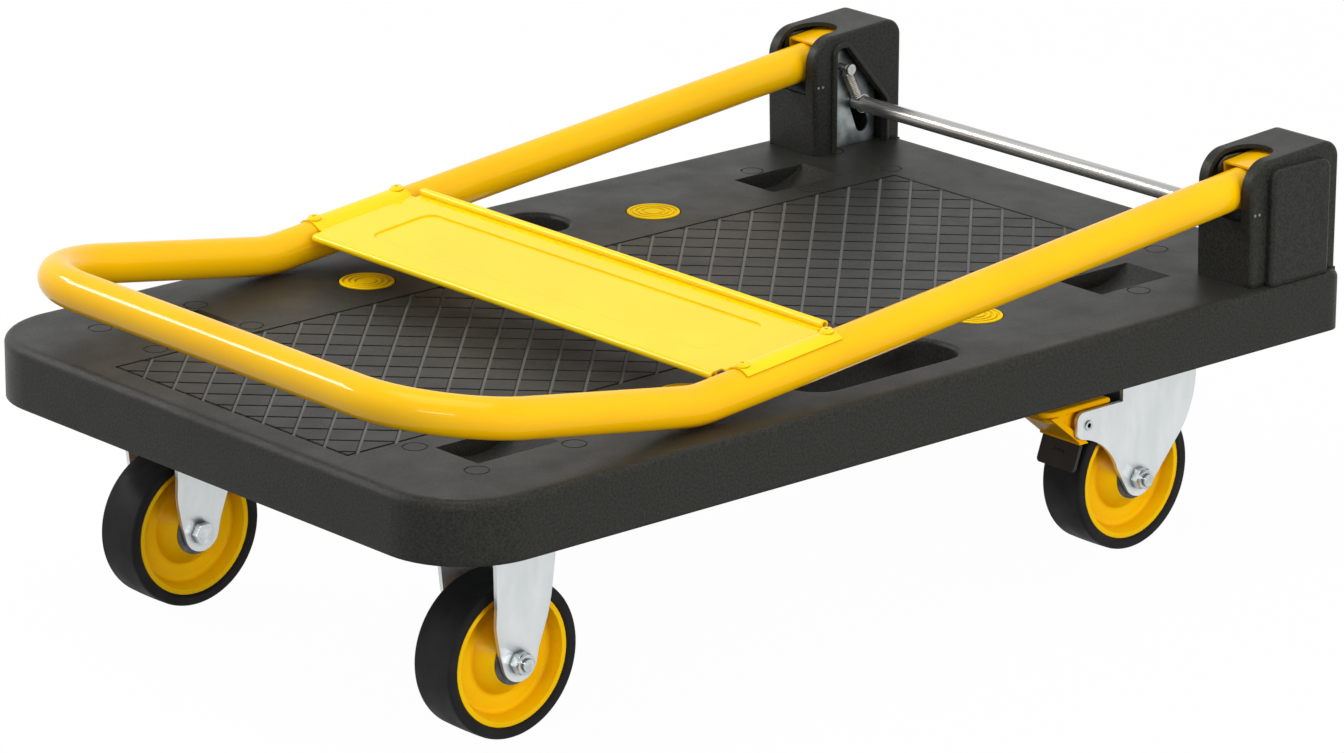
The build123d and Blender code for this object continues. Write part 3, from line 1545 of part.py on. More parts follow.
def pedal(side):
    """Foot pedal: a grooved top plate, a lip, a sloping front, two cheeks and a bored boss."""
    middle = side * caster_y
    plate_length = pedal_plate_front + pedal_plate_rear
    plate_middle = (pedal_plate_rear - pedal_plate_front) / 2
    rear_top = (pedal_plate_rear - pedal_front_sheet, plate_underneath)
    inner_top = (slope_top[0] + 2 * pedal_front_sheet, plate_underneath)
    inner_foot = (foot[0] + 2 * pedal_front_sheet, foot[1])
    lip_bottom = plate_underneath - pedal_lip_height
    with BuildPart() as piece:
        add(pedal_slab(middle, -pedal_plate_front, plate_length, plate_underneath, pedal_plate_thickness))
        lip_height = pedal_lip_height + pedal_plate_thickness / 2
        add(pedal_slab(middle, pedal_lip_back - pedal_plate_front, pedal_lip_length, lip_bottom, lip_height))
        with BuildSketch(pedal_plane(middle + pedal_half)):
            with BuildLine():
                Polyline(slope_top, inner_top, inner_foot, foot, close=True)
            make_face()
            Circle(pedal_boss_diameter / 2)
            with Locations(foot):
                Rectangle(2 * pedal_foot_lip, pedal_foot_lip, align=(Align.CENTER, Align.MIN))
        extrude(amount=2 * pedal_half)
        for start in (middle + cheek_outer, middle - cheek_outer + pedal_cheek_thickness):
            with BuildSketch(pedal_plane(start)):
                with BuildLine():
                    Polyline(slope_top, rear_top, heel, foot, close=True)
                make_face()
            extrude(amount=pedal_cheek_thickness)
        with BuildSketch(pedal_plane(middle + pedal_half)):
            Circle(pedal_pin_diameter / 2 + running_fit)
        extrude(amount=2 * pedal_half, mode=Mode.SUBTRACT)
        with BuildSketch(Plane.XY.offset(pedal_axis_z + pedal_plate_height)):
            with Locations((pedal_x + plate_middle, middle)):
                with GridLocations(pedal_groove_spacing, 0, pedal_groove_count, 1):
                    SlotOverall(pedal_groove_length, pedal_groove_width, rotation=90)
        extrude(amount=-pedal_groove_depth, mode=Mode.SUBTRACT)
    return piece


def brake_shoe(side):
    """Shoe under the pedal: a leaning plate with a block behind it, hollowed to the tyre as pressed."""
    middle = side * caster_y
    lean = radians(shoe_lean)
    plate_length = (shoe_reach - pedal_foot_drop) / cos(lean)
    toe = (foot[0] - plate_length * sin(lean), -shoe_reach)
    front = pedal_plane(middle)
    face = Plane(
        origin=front.from_local_coords((foot[0], foot[1], 0)),
        x_dir=(0, -1, 0),
        z_dir=(-cos(lean), 0, sin(lean)),
    )
    with BuildPart() as shoe:
        with BuildSketch(face) as plate:
            Rectangle(shoe_width, plate_length, align=(Align.CENTER, Align.MAX))
            fillet(plate.vertices().group_by(Axis.Y)[0], shoe_corner)
        extrude(amount=-shoe_sheet)
        with BuildSketch(pedal_plane(middle + shoe_width / 2 - shoe_block_inset)):
            with BuildLine():
                Polyline(foot, toe, (pressed_x, -shoe_reach), (pressed_x, foot[1]), close=True)
            make_face()
        extrude(amount=shoe_width - 2 * shoe_block_inset)
        with BuildSketch(pedal_plane(middle + shoe_width / 2)):
            with Locations((pressed_x, pressed_z)):
                Circle(shoe_bore)
        extrude(amount=shoe_width, mode=Mode.SUBTRACT)
        with BuildSketch(face):
            with BuildLine() as mark:
                half = shoe_mark_width / 2
                level = -shoe_mark_from_foot
                low = level - shoe_mark_drop
                Polyline((-half, low), (shoe_mark_drop - half, level), (half - shoe_mark_drop, level), (half, low))
            trace(mark.wires(), shoe_mark_line)
        extrude(amount=-shoe_mark_depth, mode=Mode.SUBTRACT)
    return shoe


for side_name, side in sides.items():
    save(pedal(side), f"{side_name}_brake_pedal")
    save(brake_shoe(side), f"{side_name}_brake_shoe")
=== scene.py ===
# %% [markdown]
# A folding platform trolley, dressed for a studio picture.
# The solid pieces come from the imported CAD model, which is loaded here as a fixed frame. They could be
# modelled again in Blender, but the frame already has every tube, wheel and bracket at its true size and
# place, so this lesson keeps those meshes and gives its time to finishes, small moulded details, light and
# the camera.

import json
from math import cos, radians, sin

import bmesh
import bpy
from mathutils import Matrix, Vector


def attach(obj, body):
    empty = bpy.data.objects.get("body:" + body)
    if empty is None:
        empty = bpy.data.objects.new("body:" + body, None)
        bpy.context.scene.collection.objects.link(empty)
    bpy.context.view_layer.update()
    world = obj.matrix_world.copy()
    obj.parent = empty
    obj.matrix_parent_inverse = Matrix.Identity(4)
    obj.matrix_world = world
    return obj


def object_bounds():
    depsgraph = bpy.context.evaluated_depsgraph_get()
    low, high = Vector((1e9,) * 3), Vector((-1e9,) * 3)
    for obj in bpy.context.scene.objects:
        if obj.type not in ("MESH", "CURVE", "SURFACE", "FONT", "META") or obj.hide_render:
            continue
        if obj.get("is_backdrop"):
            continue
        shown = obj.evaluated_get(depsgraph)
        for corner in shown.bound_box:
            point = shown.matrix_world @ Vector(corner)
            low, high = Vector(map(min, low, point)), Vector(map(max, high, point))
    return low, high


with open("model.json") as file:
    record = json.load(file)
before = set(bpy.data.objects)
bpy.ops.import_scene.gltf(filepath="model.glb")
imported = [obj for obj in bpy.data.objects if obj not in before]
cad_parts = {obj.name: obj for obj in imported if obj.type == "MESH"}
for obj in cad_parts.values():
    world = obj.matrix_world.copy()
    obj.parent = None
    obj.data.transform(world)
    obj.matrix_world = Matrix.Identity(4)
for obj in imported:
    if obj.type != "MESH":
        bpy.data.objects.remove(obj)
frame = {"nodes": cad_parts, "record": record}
cad_low, cad_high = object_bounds()
nodes = frame["nodes"]
mm_in_metre = 1000
cad_size = [round(side, 3) for side in cad_high - cad_low]
print("loaded", len(nodes), "pieces; the trolley measures", cad_size, "m")

# %% [markdown]
# The camera stands where the photographer stood. It could be placed by eye, but the deck's straight edges
# fix it better: they give the direction, the distance and the lens, and those few values are named here. A
# long lens from four metres keeps the deck's long sides nearly parallel, as product pictures do.

# %% Camera
camera_azimuth = radians(-41.664)
camera_elevation = radians(17.772)
camera_roll = radians(0.286)
camera_distance = 4.0773
aim_point = Vector((0.0016, -0.0019, 0.1298))
photo_width = 1344
focal_pixels = 6303.6
sensor_width = 36


def add_object(name, data):
    """A new object in the scene, made of a camera, a lamp or a mesh."""
    added = bpy.data.objects.new(name, data)
    bpy.context.scene.collection.objects.link(added)
    return added


away = Vector((
    sin(camera_azimuth) * cos(camera_elevation),
    -cos(camera_azimuth) * cos(camera_elevation),
    sin(camera_elevation),
))
level_right = Vector((cos(camera_azimuth), sin(camera_azimuth), 0))
level_up = away.cross(level_right)
right = level_right * cos(camera_roll) + level_up * sin(camera_roll)
up = level_up * cos(camera_roll) - level_right * sin(camera_roll)

camera_data = bpy.data.cameras.new("studio_camera")
camera_data.sensor_width = sensor_width
camera_data.lens = sensor_width * focal_pixels / photo_width
camera = add_object("studio_camera", camera_data)
turn = Matrix((right, up, away)).transposed().to_4x4()
camera.matrix_world = Matrix.Translation(aim_point + away * camera_distance) @ turn
bpy.context.scene.camera = camera
camera_height = camera.matrix_world.translation.z
print("camera", round(camera_height, 2), "m up, with a lens of", round(camera_data.lens), "mm")

# %% [markdown]
# A white studio looks brighter than the light it throws on the object. In Blender the two can be set apart
# by asking what kind of ray is being traced: one from the camera or a mirror, or one that gathers light on
# a surface. Two backdrops on two layers could do the same, but one test serves both the world and the floor.

# %% A test for rays
def maths(tree, operation, *values):
    """The result of one step of maths on sockets and plain numbers."""
    step = tree.nodes.new("ShaderNodeMath")
    step.operation = operation
    for socket, value in zip(step.inputs, values):
        if isinstance(value, (int, float)):
            socket.default_value = value
        else:
            tree.links.new(value, socket)
    return step.outputs[0]


def seen_directly(tree):
    """1 for rays from the camera and for mirror and glass rays, and 0 for light that falls on a surface."""
    path = tree.nodes.new("ShaderNodeLightPath")
    factor = path.outputs["Is Camera Ray"]
    for ray in ("Is Glossy Ray", "Is Transmission Ray"):
        factor = maths(tree, "MAXIMUM", factor, path.outputs[ray])
    return factor


print("ray test ready")

# %% [markdown]
# Even light from all round comes from the world. What the camera and the glossy paint see of the world is
# plain white, while the light it casts is weaker, so nothing washes out. A picture of a studio wrapped
# round the scene would do this too, but two plain backgrounds need no file.

# %% World
bpy.context.scene.view_settings.view_transform = "Standard"
ambient_strength = 0.45
white = (1, 1, 1, 1)

world = bpy.data.worlds.new("white_studio")
bpy.context.scene.world = world
world.use_nodes = True
tree = world.node_tree
tree.nodes.clear()
ambient = tree.nodes.new("ShaderNodeBackground")
ambient.inputs["Strength"].default_value = ambient_strength
backdrop = tree.nodes.new("ShaderNodeBackground")
for light in (ambient, backdrop):
    light.inputs["Color"].default_value = white
choose = tree.nodes.new("ShaderNodeMixShader")
world_output = tree.nodes.new("ShaderNodeOutputWorld")
tree.links.new(seen_directly(tree), choose.inputs["Fac"])
tree.links.new(ambient.outputs[0], choose.inputs[1])
tree.links.new(backdrop.outputs[0], choose.inputs[2])
tree.links.new(choose.outputs[0], world_output.inputs["Surface"])
print("made", world.name, "with an even light of", ambient_strength)

# %% [markdown]
# Studio light is mostly large and soft. The world could do the whole job, but then tubes look flat. The
# long, narrow boxes behind and on the left draw the pale streaks that show a tube's roundness, and the
# large one above lights the deck. The low box only fills the shadows under the deck, so it is kept out of
# reflections.

# %% Soft boxes
def soft_box(name, place, width, height, power):
    """An area lamp that faces the middle of the trolley."""
    lamp = bpy.data.lights.new(name, "AREA")
    lamp.shape = "RECTANGLE"
    lamp.size = width
    lamp.size_y = height
    lamp.energy = power
    holder = add_object(name, lamp)
    facing = (aim_point - Vector(place)).to_track_quat("-Z", "Y")
    holder.matrix_world = Matrix.Translation(place) @ facing.to_matrix().to_4x4()
    return holder


lamps = [
    soft_box("back_soft_box", place=(-1.3, 2.0, 1.6), width=1.6, height=0.22, power=36),
    soft_box("top_soft_box", place=(-0.2, -0.3, 2.9), width=2.4, height=2.0, power=32),
    soft_box("left_soft_box", place=(-2.2, -1.8, 1.2), width=1.4, height=0.24, power=14),
    soft_box("low_soft_box", place=(0.4, -2.6, 0.5), width=1.8, height=0.6, power=36),
]
fill = lamps[-1]
fill.visible_glossy = False
print("lamps", [lamp.name for lamp in lamps], "of which", fill.name, "shows in no reflection")

# %% [markdown]
# The floor is a plain pale sheet. A photographer would sweep white paper up behind the object; from this
# height the floor alone fills the picture, so one large face does. To the camera it is mostly white by
# itself, with a glow a little above one so that it reaches full white, and it is partly lit, so that a
# faint shadow stays.

# %% Floor
floor_half = 8.0
floor_lit_share = 0.06
floor_glow = 1.045
paper_grey = (0.22, 0.22, 0.22, 1)

floor_shape = bmesh.new()
bmesh.ops.create_grid(floor_shape, x_segments=1, y_segments=1, size=floor_half)
floor_mesh = bpy.data.meshes.new("studio_floor")
floor_shape.to_mesh(floor_mesh)
floor_shape.free()
floor = add_object("studio_floor", floor_mesh)
floor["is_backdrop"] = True

paper = bpy.data.materials.new("white_paper")
paper.use_nodes = True
tree = paper.node_tree
tree.nodes.clear()
lit = tree.nodes.new("ShaderNodeBsdfDiffuse")
lit.inputs["Color"].default_value = paper_grey
plain_white = tree.nodes.new("ShaderNodeEmission")
plain_white.inputs["Strength"].default_value = floor_glow
choose = tree.nodes.new("ShaderNodeMixShader")
paper_output = tree.nodes.new("ShaderNodeOutputMaterial")
tree.links.new(maths(tree, "MULTIPLY", seen_directly(tree), 1 - floor_lit_share), choose.inputs["Fac"])
tree.links.new(lit.outputs[0], choose.inputs[1])
tree.links.new(plain_white.outputs[0], choose.inputs[2])
tree.links.new(choose.outputs[0], paper_output.inputs["Surface"])
floor_mesh.materials.append(paper)
print("floor", 2 * floor_half, "m wide")

# %% [markdown]
# Each finish starts the same way: a Principled shader, with texture nodes that read the piece's own
# coordinates in metres. Image textures would need files and unwrapping; noise in metres needs neither, and
# its grain has the same size on a bolt as on the deck.

# %% Start of a finish
def new_finish(name, shine=0.5, metallic=0.0):
    """A material, its node tree and its Principled shader. A shine of 0.5 is plain varnish."""
    material = bpy.data.materials.new(name)
    material.use_nodes = True
    shader = material.node_tree.nodes["Principled BSDF"]
    shader.inputs["Specular IOR Level"].default_value = shine
    shader.inputs["Metallic"].default_value = metallic
    return material, material.node_tree, shader


def own_place(tree):
    """The piece's own coordinates, in metres."""
    return tree.nodes.new("ShaderNodeTexCoord").outputs["Object"]


def noise(tree, per_metre, detail=2.0, stretch=(1, 1, 1)):
    """Noise with about that many patches in a metre, drawn out along an axis whose stretch is below 1."""
    scale = tree.nodes.new("ShaderNodeMapping")
    scale.inputs["Scale"].default_value = stretch
    texture = tree.nodes.new("ShaderNodeTexNoise")
    texture.inputs["Scale"].default_value = per_metre
    texture.inputs["Detail"].default_value = detail
    tree.links.new(own_place(tree), scale.inputs["Vector"])
    tree.links.new(scale.outputs["Vector"], texture.inputs["Vector"])
    return texture.outputs["Fac"]


print("finish and noise helpers ready")

# %% [markdown]
# Nothing real is one flat colour. A colour ramp driven by noise gives soft patches of two close shades, and
# a mix node lays a further colour over them wherever a factor says so. Vertex colours could hold the same,
# but then their detail would depend on the mesh.

# %% Colour in patches
def patches(tree, shader, pattern, first, second, low=0.35, high=0.65):
    """Base colour that goes from first to second where the pattern goes from low to high."""
    ramp = tree.nodes.new("ShaderNodeValToRGB")
    for stop, position, colour in zip(ramp.color_ramp.elements, (low, high), (first, second)):
        stop.position = position
        stop.color = (*colour, 1)
    tree.links.new(pattern, ramp.inputs["Fac"])
    tree.links.new(ramp.outputs["Color"], shader.inputs["Base Color"])


def blend_base(tree, shader, factor, colour):
    """Blend what feeds the base colour towards another colour, by the factor."""
    blend = tree.nodes.new("ShaderNodeMix")
    blend.data_type = "RGBA"
    first, second = [socket for socket in blend.inputs if socket.type == "RGBA"]
    second.default_value = (*colour, 1)
    tree.links.new(shader.inputs["Base Color"].links[0].from_socket, first)
    tree.links.new(factor, blend.inputs["Factor"])
    result = [socket for socket in blend.outputs if socket.type == "RGBA"][0]
    tree.links.new(result, shader.inputs["Base Color"])


print("colour helpers ready")

# %% [markdown]
# A real surface isn't one even sheen. Shade falls in its hollows, its polish varies, and its edges are
# never quite sharp. Cutting all that into the mesh would need millions of faces, so three helpers do it in
# the shader: one paints shade into the hollows, one varies the roughness, and one raises bumps and rounds
# edges.

# %% Helpers for surface
# Settings for the painted shade in hollows.
shade_samples = 6
shade_begins = 0.85
shade_full = 0.35
noise_low = 0.3
noise_high = 0.7
edge_samples = 4


def spread(tree, value, from_low, from_high, to_low, to_high):
    """The value moved from one range to another, and kept inside it."""
    moved = tree.nodes.new("ShaderNodeMapRange")
    moved.inputs["From Min"].default_value = from_low
    moved.inputs["From Max"].default_value = from_high
    moved.inputs["To Min"].default_value = to_low
    moved.inputs["To Max"].default_value = to_high
    tree.links.new(value, moved.inputs["Value"])
    return moved.outputs["Result"]


def paint_shade_in_hollows(tree, shader, reach, colour, share):
    """Painted shade: blend the base colour towards another one in hollows narrower than reach, by up to
    share.
    """
    # Ambient occlusion finds the hollows; the colour laid in them is painted shade.
    hollows = tree.nodes.new("ShaderNodeAmbientOcclusion")
    hollows.samples = shade_samples
    hollows.inputs["Distance"].default_value = reach
    painted_shade = spread(tree, hollows.outputs["AO"], shade_begins, shade_full, 0, share)
    blend_base(tree, shader, painted_shade, colour)


def vary_roughness(tree, shader, pattern, low, high):
    """Roughness between low and high, by the pattern."""
    roughness = spread(tree, pattern, noise_low, noise_high, low, high)
    tree.links.new(roughness, shader.inputs["Roughness"])


def raise_surface(tree, shader, pattern, height, strength, edge_radius):
    """Bumps of that height in metres. Gives the node that makes edges look rounded by edge_radius."""
    edge = tree.nodes.new("ShaderNodeBevel")
    edge.samples = edge_samples
    edge.inputs["Radius"].default_value = edge_radius
    bump = tree.nodes.new("ShaderNodeBump")
    bump.inputs["Strength"].default_value = strength
    bump.inputs["Distance"].default_value = height
    tree.links.new(edge.outputs["Normal"], bump.inputs["Normal"])
    tree.links.new(pattern, bump.inputs["Height"])
    tree.links.new(bump.outputs["Normal"], shader.inputs["Normal"])
    return edge


print("surface helpers ready")

# %% [markdown]
# The deck's top has two fields of crossed grooves for grip. In one direction the grooves look paler than
# the plastic round them: their smooth floors reflect the light, and that highlight is painted in. A
# painted mask could mark them, but they are straight and evenly spaced, so a few tests on the piece's
# own coordinates find them: folding the distance across the grooves by their pitch makes one groove
# stand for all.

# %% Painted highlight in the deck's grooves
groove_turn = radians(45)
groove_pitch = 0.02105
groove_start = 0.0022
groove_half_width = 0.0009
groove_floor = 0.1818
treads_middle_x = -0.024
treads_half_length = 0.336
treads_half_width = 0.1155


def near(tree, value, middle, reach):
    """1 where the value lies within reach of the middle, and 0 elsewhere."""
    return maths(tree, "COMPARE", value, middle, reach)


def own_axes(tree):
    """X, Y and Z of the piece's own coordinates, in metres."""
    axes = tree.nodes.new("ShaderNodeSeparateXYZ")
    tree.links.new(own_place(tree), axes.inputs["Vector"])
    return axes.outputs


def paint_groove_highlights(tree, shader, colour):
    """Paint a highlight of that colour on the floors of the grooves that run towards the right rear corner.
    """
    across = tree.nodes.new("ShaderNodeVectorMath")
    across.operation = "DOT_PRODUCT"
    across.inputs[1].default_value = (cos(groove_turn), -sin(groove_turn), 0)
    tree.links.new(own_place(tree), across.inputs[0])
    shifted = maths(tree, "SUBTRACT", across.outputs["Value"], groove_start)
    folded = maths(tree, "WRAP", shifted, groove_pitch / 2, -groove_pitch / 2)
    painted = near(tree, folded, 0, groove_half_width)
    x, y, z = own_axes(tree)
    for limit in (
        near(tree, x, treads_middle_x, treads_half_length),
        near(tree, y, 0, treads_half_width),
        near(tree, z, groove_floor, groove_half_width / 2),
    ):
        painted = maths(tree, "MULTIPLY", painted, limit)
    blend_base(tree, shader, painted, colour)


print("groove helper ready, for grooves", mm_in_metre * groove_pitch, "mm apart")

# %% [markdown]
# The deck's outer rim looks softer than its other edges. More rounding could be cut into the mesh, but the
# CAD meshes stay as they are here. The Bevel node rounds edges in the shading only, and its radius can
# change from place to place. A wide radius everywhere would smear the grooves and the ring marks, so it is
# wide at the rim alone.

# %% Soft rim of the deck
rim_half_length = 0.366
rim_half_width = 0.226
rim_top = 0.1855


def round_rim(tree, edge, radius):
    """Let the deck's outer rim look rounded by that radius, and leave the edges inside and above it crisp."""
    x, y, z = own_axes(tree)
    inside = maths(tree, "MULTIPLY", near(tree, x, 0, rim_half_length), near(tree, y, 0, rim_half_width))
    above = maths(tree, "GREATER_THAN", z, rim_top)
    crisp = maths(tree, "MAXIMUM", inside, above)
    crisp_radius = edge.inputs["Radius"].default_value
    tree.links.new(spread(tree, crisp, 0, 1, radius, crisp_radius), edge.inputs["Radius"])


print("rim helper ready, for a rim", 2 * rim_half_length, "by", 2 * rim_half_width, "m inside")

# %% [markdown]
# The deck and the hinge covers are one kind of charcoal plastic with a fine grain from the mould. The grain
# is what makes the top look paler than the sides: it scatters the low light behind the deck. Flat grey
# would lose that, so the finish has a grain of about a millimetre, and broad, faint patches where hands and
# boxes have rubbed. A paler kind is for the small pips made further on.

# %% Charcoal plastic
charcoal, tree, shader = new_finish("charcoal_plastic", shine=0.155)
grain = noise(tree, per_metre=650, detail=9)
patches(tree, shader, grain, first=(0.0125, 0.0125, 0.0104), second=(0.029, 0.029, 0.0245))
# Painted highlight on the floors of one set of grooves.
paint_groove_highlights(tree, shader, colour=(0.13, 0.13, 0.12))
vary_roughness(tree, shader, noise(tree, per_metre=35, detail=4), low=0.38, high=0.48)
bumps = noise(tree, per_metre=1000, detail=3)
edge = raise_surface(tree, shader, bumps, height=0.00016, strength=0.6, edge_radius=0.0008)
round_rim(tree, edge, radius=0.007)

pale_pip_plastic, tree, shader = new_finish("pale_pip_plastic", shine=0.4)
grain = noise(tree, per_metre=900, detail=4)
patches(tree, shader, grain, first=(0.12, 0.12, 0.115), second=(0.24, 0.24, 0.23))
vary_roughness(tree, shader, noise(tree, per_metre=300), low=0.24, high=0.36)
bumps = noise(tree, per_metre=1500)
raise_surface(tree, shader, bumps, height=0.00003, strength=0.3, edge_radius=0.0003)
print("made", charcoal.name, "and", pale_pip_plastic.name)

# %% [markdown]
# The handle has thick yellow gloss paint. Car paint in Blender is a base with a clear coat, and the same
# works here: the coat gives sharp streaks, and the base keeps its colour. A very low, wide ripple is the
# orange peel that sprayed paint has. The pressed cross plate is a paler yellow than the tube, so one
# function makes both.

# %% Yellow gloss paint
green_swing = 0.02
coat_roughness = 0.12


def gloss_paint(name, green, coat, shade_colour, shade_share):
    """Yellow paint with about that much green, under a clear coat of that weight, with painted shade in its
    hollows.
    """
    material, tree, shader = new_finish(name, shine=0.02)
    shades = noise(tree, per_metre=12, detail=3)
    deep = (0.97, green - green_swing, 0.001)
    light = (0.99, green + green_swing, 0.001)
    patches(tree, shader, shades, first=deep, second=light)
    # Painted shade: a deeper orange in the hollows.
    paint_shade_in_hollows(tree, shader, reach=0.008, colour=shade_colour, share=shade_share)
    vary_roughness(tree, shader, noise(tree, per_metre=45, detail=3), low=0.2, high=0.28)
    ripple = noise(tree, per_metre=160, detail=1)
    raise_surface(tree, shader, ripple, height=0.00003, strength=0.2, edge_radius=0.0006)
    shader.inputs["Coat Weight"].default_value = coat
    shader.inputs["Coat Roughness"].default_value = coat_roughness
    return material


yellow_paint = gloss_paint(
    "yellow_gloss_paint", green=0.53, coat=0.4, shade_colour=(0.55, 0.22, 0.001), shade_share=0.85
)
sheet_paint = gloss_paint(
    "yellow_sheet_paint", green=0.69, coat=0.5, shade_colour=(0.75, 0.42, 0.001), shade_share=0.4
)
print("made", yellow_paint.name, "and", sheet_paint.name)

# %% [markdown]
# Hubs, plugs and pedals are coloured right through, so they look deeper than paint. A little light goes
# into such plastic and comes out again. Subsurface scattering would show that, but at this size a warmer
# colour in the patches and painted shade of deep orange in the hollows do nearly the same and render faster.
# The pedals are a deeper orange kind with hardly any shine, partly their own colour and partly painted
# shade for the shadow under the deck, and the plugs in the deck a paler one.

# %% Amber plastic
def moulded_yellow(name, green, shade_reach, shine):
    """Yellow plastic with about that much green, and painted shade of deep orange in hollows narrower than
    the reach.
    """
    material, tree, shader = new_finish(name, shine)
    shades = noise(tree, per_metre=30, detail=3)
    deep = (0.98, green - green_swing, 0.001)
    light = (0.99, green + green_swing, 0.001)
    patches(tree, shader, shades, first=deep, second=light)
    # Painted shade: deep orange in the hollows.
    paint_shade_in_hollows(tree, shader, shade_reach, colour=(0.56, 0.17, 0.001), share=0.8)
    vary_roughness(tree, shader, noise(tree, per_metre=90, detail=4), low=0.2, high=0.3)
    bumps = noise(tree, per_metre=700, detail=2)
    raise_surface(tree, shader, bumps, height=0.00003, strength=0.3, edge_radius=0.0006)
    return material


amber = moulded_yellow("amber_plastic", green=0.58, shade_reach=0.020, shine=0.08)
# The pedals' deeper orange is partly painted shade, for the shadow under the deck.
orange = moulded_yellow("orange_plastic", green=0.48, shade_reach=0.004, shine=0.01)

lemon, tree, shader = new_finish("lemon_plastic", shine=0.01)
shades = noise(tree, per_metre=40, detail=3)
patches(tree, shader, shades, first=(0.97, 0.63, 0.002), second=(0.99, 0.69, 0.003))
# Painted shade in the plugs' hollows.
paint_shade_in_hollows(tree, shader, reach=0.004, colour=(0.60, 0.27, 0.002), share=0.6)
vary_roughness(tree, shader, noise(tree, per_metre=90, detail=4), low=0.3, high=0.42)
bumps = noise(tree, per_metre=900, detail=2)
raise_surface(tree, shader, bumps, height=0.00003, strength=0.3, edge_radius=0.0006)
print("made", amber.name, "with", orange.name, "and", lemon.name)

# %% [markdown]
# Tyres are matt rubber. Pure black swallows all shape, so the colour stays a little above black and the
# roughness stays high, with a fine grain and some dusty patches.

# %% Tyre rubber
rubber, tree, shader = new_finish("tyre_rubber", shine=0.15)
dust = noise(tree, per_metre=40, detail=5)
patches(tree, shader, dust, first=(0.009, 0.009, 0.009), second=(0.015, 0.015, 0.015))
vary_roughness(tree, shader, noise(tree, per_metre=60, detail=4), low=0.58, high=0.76)
bumps = noise(tree, per_metre=1100, detail=3)
raise_surface(tree, shader, bumps, height=0.00008, strength=0.5, edge_radius=0.0012)
print("made", rubber.name)

# %% [markdown]
# Forks, plates, bolts and nuts are zinc plated. Fresh zinc is a pale, slightly blue metal with cloudy
# patches, less sharp than chrome. Its roughness varies in the same clouds, and fine upright lines remain
# from rolling the sheet. A plain metal of one grey would look like plastic, so the clouds drive both its
# colour and its roughness.

# %% Zinc plate
zinc, tree, shader = new_finish("zinc_plate", metallic=0.75)
clouds = noise(tree, per_metre=110, detail=5, stretch=(1, 1, 0.3))
patches(tree, shader, clouds, first=(0.665, 0.70, 0.705), second=(0.745, 0.775, 0.78))
# Painted shade: dark grey in the hollows.
paint_shade_in_hollows(tree, shader, reach=0.006, colour=(0.10, 0.11, 0.115), share=0.9)
vary_roughness(tree, shader, clouds, low=0.34, high=0.42)
lines = noise(tree, per_metre=500, detail=2, stretch=(1, 1, 0.08))
raise_surface(tree, shader, lines, height=0.00002, strength=0.4, edge_radius=0.0004)
print("made", zinc.name)

# %% [markdown]
# Small turned pieces come out of the zinc bath brighter than sheet, and the plates inside the hinge covers
# are stained. Their darker tone and near black hollows are also painted shade, for the dim inside of the
# covers. Both could be the sheet's finish with other settings, but their clouds differ in size and
# contrast, so each has a finish of its own.

# %% Bright zinc, and stained zinc with painted shade
bright_zinc, tree, shader = new_finish("bright_zinc", metallic=1.0)
clouds = noise(tree, per_metre=200, detail=3)
patches(tree, shader, clouds, first=(0.46, 0.49, 0.50), second=(0.62, 0.65, 0.66))
# Painted shade: near black in the hollows.
paint_shade_in_hollows(tree, shader, reach=0.004, colour=(0.05, 0.055, 0.06), share=0.95)
vary_roughness(tree, shader, clouds, low=0.07, high=0.13)
bumps = noise(tree, per_metre=900, detail=2)
raise_surface(tree, shader, bumps, height=0.00001, strength=0.3, edge_radius=0.0005)

shaded_inner_zinc, tree, shader = new_finish("inner_zinc_plate", metallic=0.9)
stains = noise(tree, per_metre=90, detail=6)
# The dark end of these patches is partly painted shade, for the dim inside of the covers.
patches(tree, shader, stains, first=(0.24, 0.275, 0.29), second=(0.54, 0.58, 0.59), low=0.40, high=0.62)
# Painted shade in the hollows inside the covers.
paint_shade_in_hollows(tree, shader, reach=0.012, colour=(0.03, 0.034, 0.036), share=0.9)
vary_roughness(tree, shader, stains, low=0.30, high=0.46)
bumps = noise(tree, per_metre=900, detail=2)
raise_surface(tree, shader, bumps, height=0.00002, strength=0.4, edge_radius=0.0004)
print("made", bright_zinc.name, "and", shaded_inner_zinc.name)

# %% [markdown]
# The release rod was pulled through a die, which leaves bright metal with faint lines along its length.
# Drawing the noise out along the rod gives those lines.

# %% Drawn steel
drawn_steel, tree, shader = new_finish("drawn_steel", metallic=0.8)
lines = noise(tree, per_metre=600, detail=2, stretch=(1, 0.02, 1))
patches(tree, shader, lines, first=(0.39, 0.39, 0.37), second=(0.52, 0.52, 0.50))
vary_roughness(tree, shader, lines, low=0.18, high=0.28)
raise_surface(tree, shader, lines, height=0.00001, strength=0.3, edge_radius=0.0004)
print("made", drawn_steel.name)

# %% [markdown]
# Springs are wound from oiled wire that turns brownish in the furnace. It could share the rod's steel, but
# then its turns would run together, so it has a warmer colour, and shade is painted into the gaps between
# the turns.

# %% Spring wire
spring_wire, tree, shader = new_finish("spring_wire", metallic=1.0)
stains = noise(tree, per_metre=300, detail=4)
patches(tree, shader, stains, first=(0.62, 0.58, 0.50), second=(0.78, 0.75, 0.68))
# Painted shade in the gaps between the turns.
paint_shade_in_hollows(tree, shader, reach=0.0015, colour=(0.05, 0.04, 0.03), share=0.85)
vary_roughness(tree, shader, stains, low=0.24, high=0.4)
bumps = noise(tree, per_metre=900)
raise_surface(tree, shader, bumps, height=0.00001, strength=0.3, edge_radius=0.0002)
print("made", spring_wire.name)

# %% [markdown]
# The brake shoes are a harder plastic than the deck, and slightly brown, and the hub caps are blackened
# steel. Both are small and sit in shadow, so they get the same kind of nodes with dark colours.

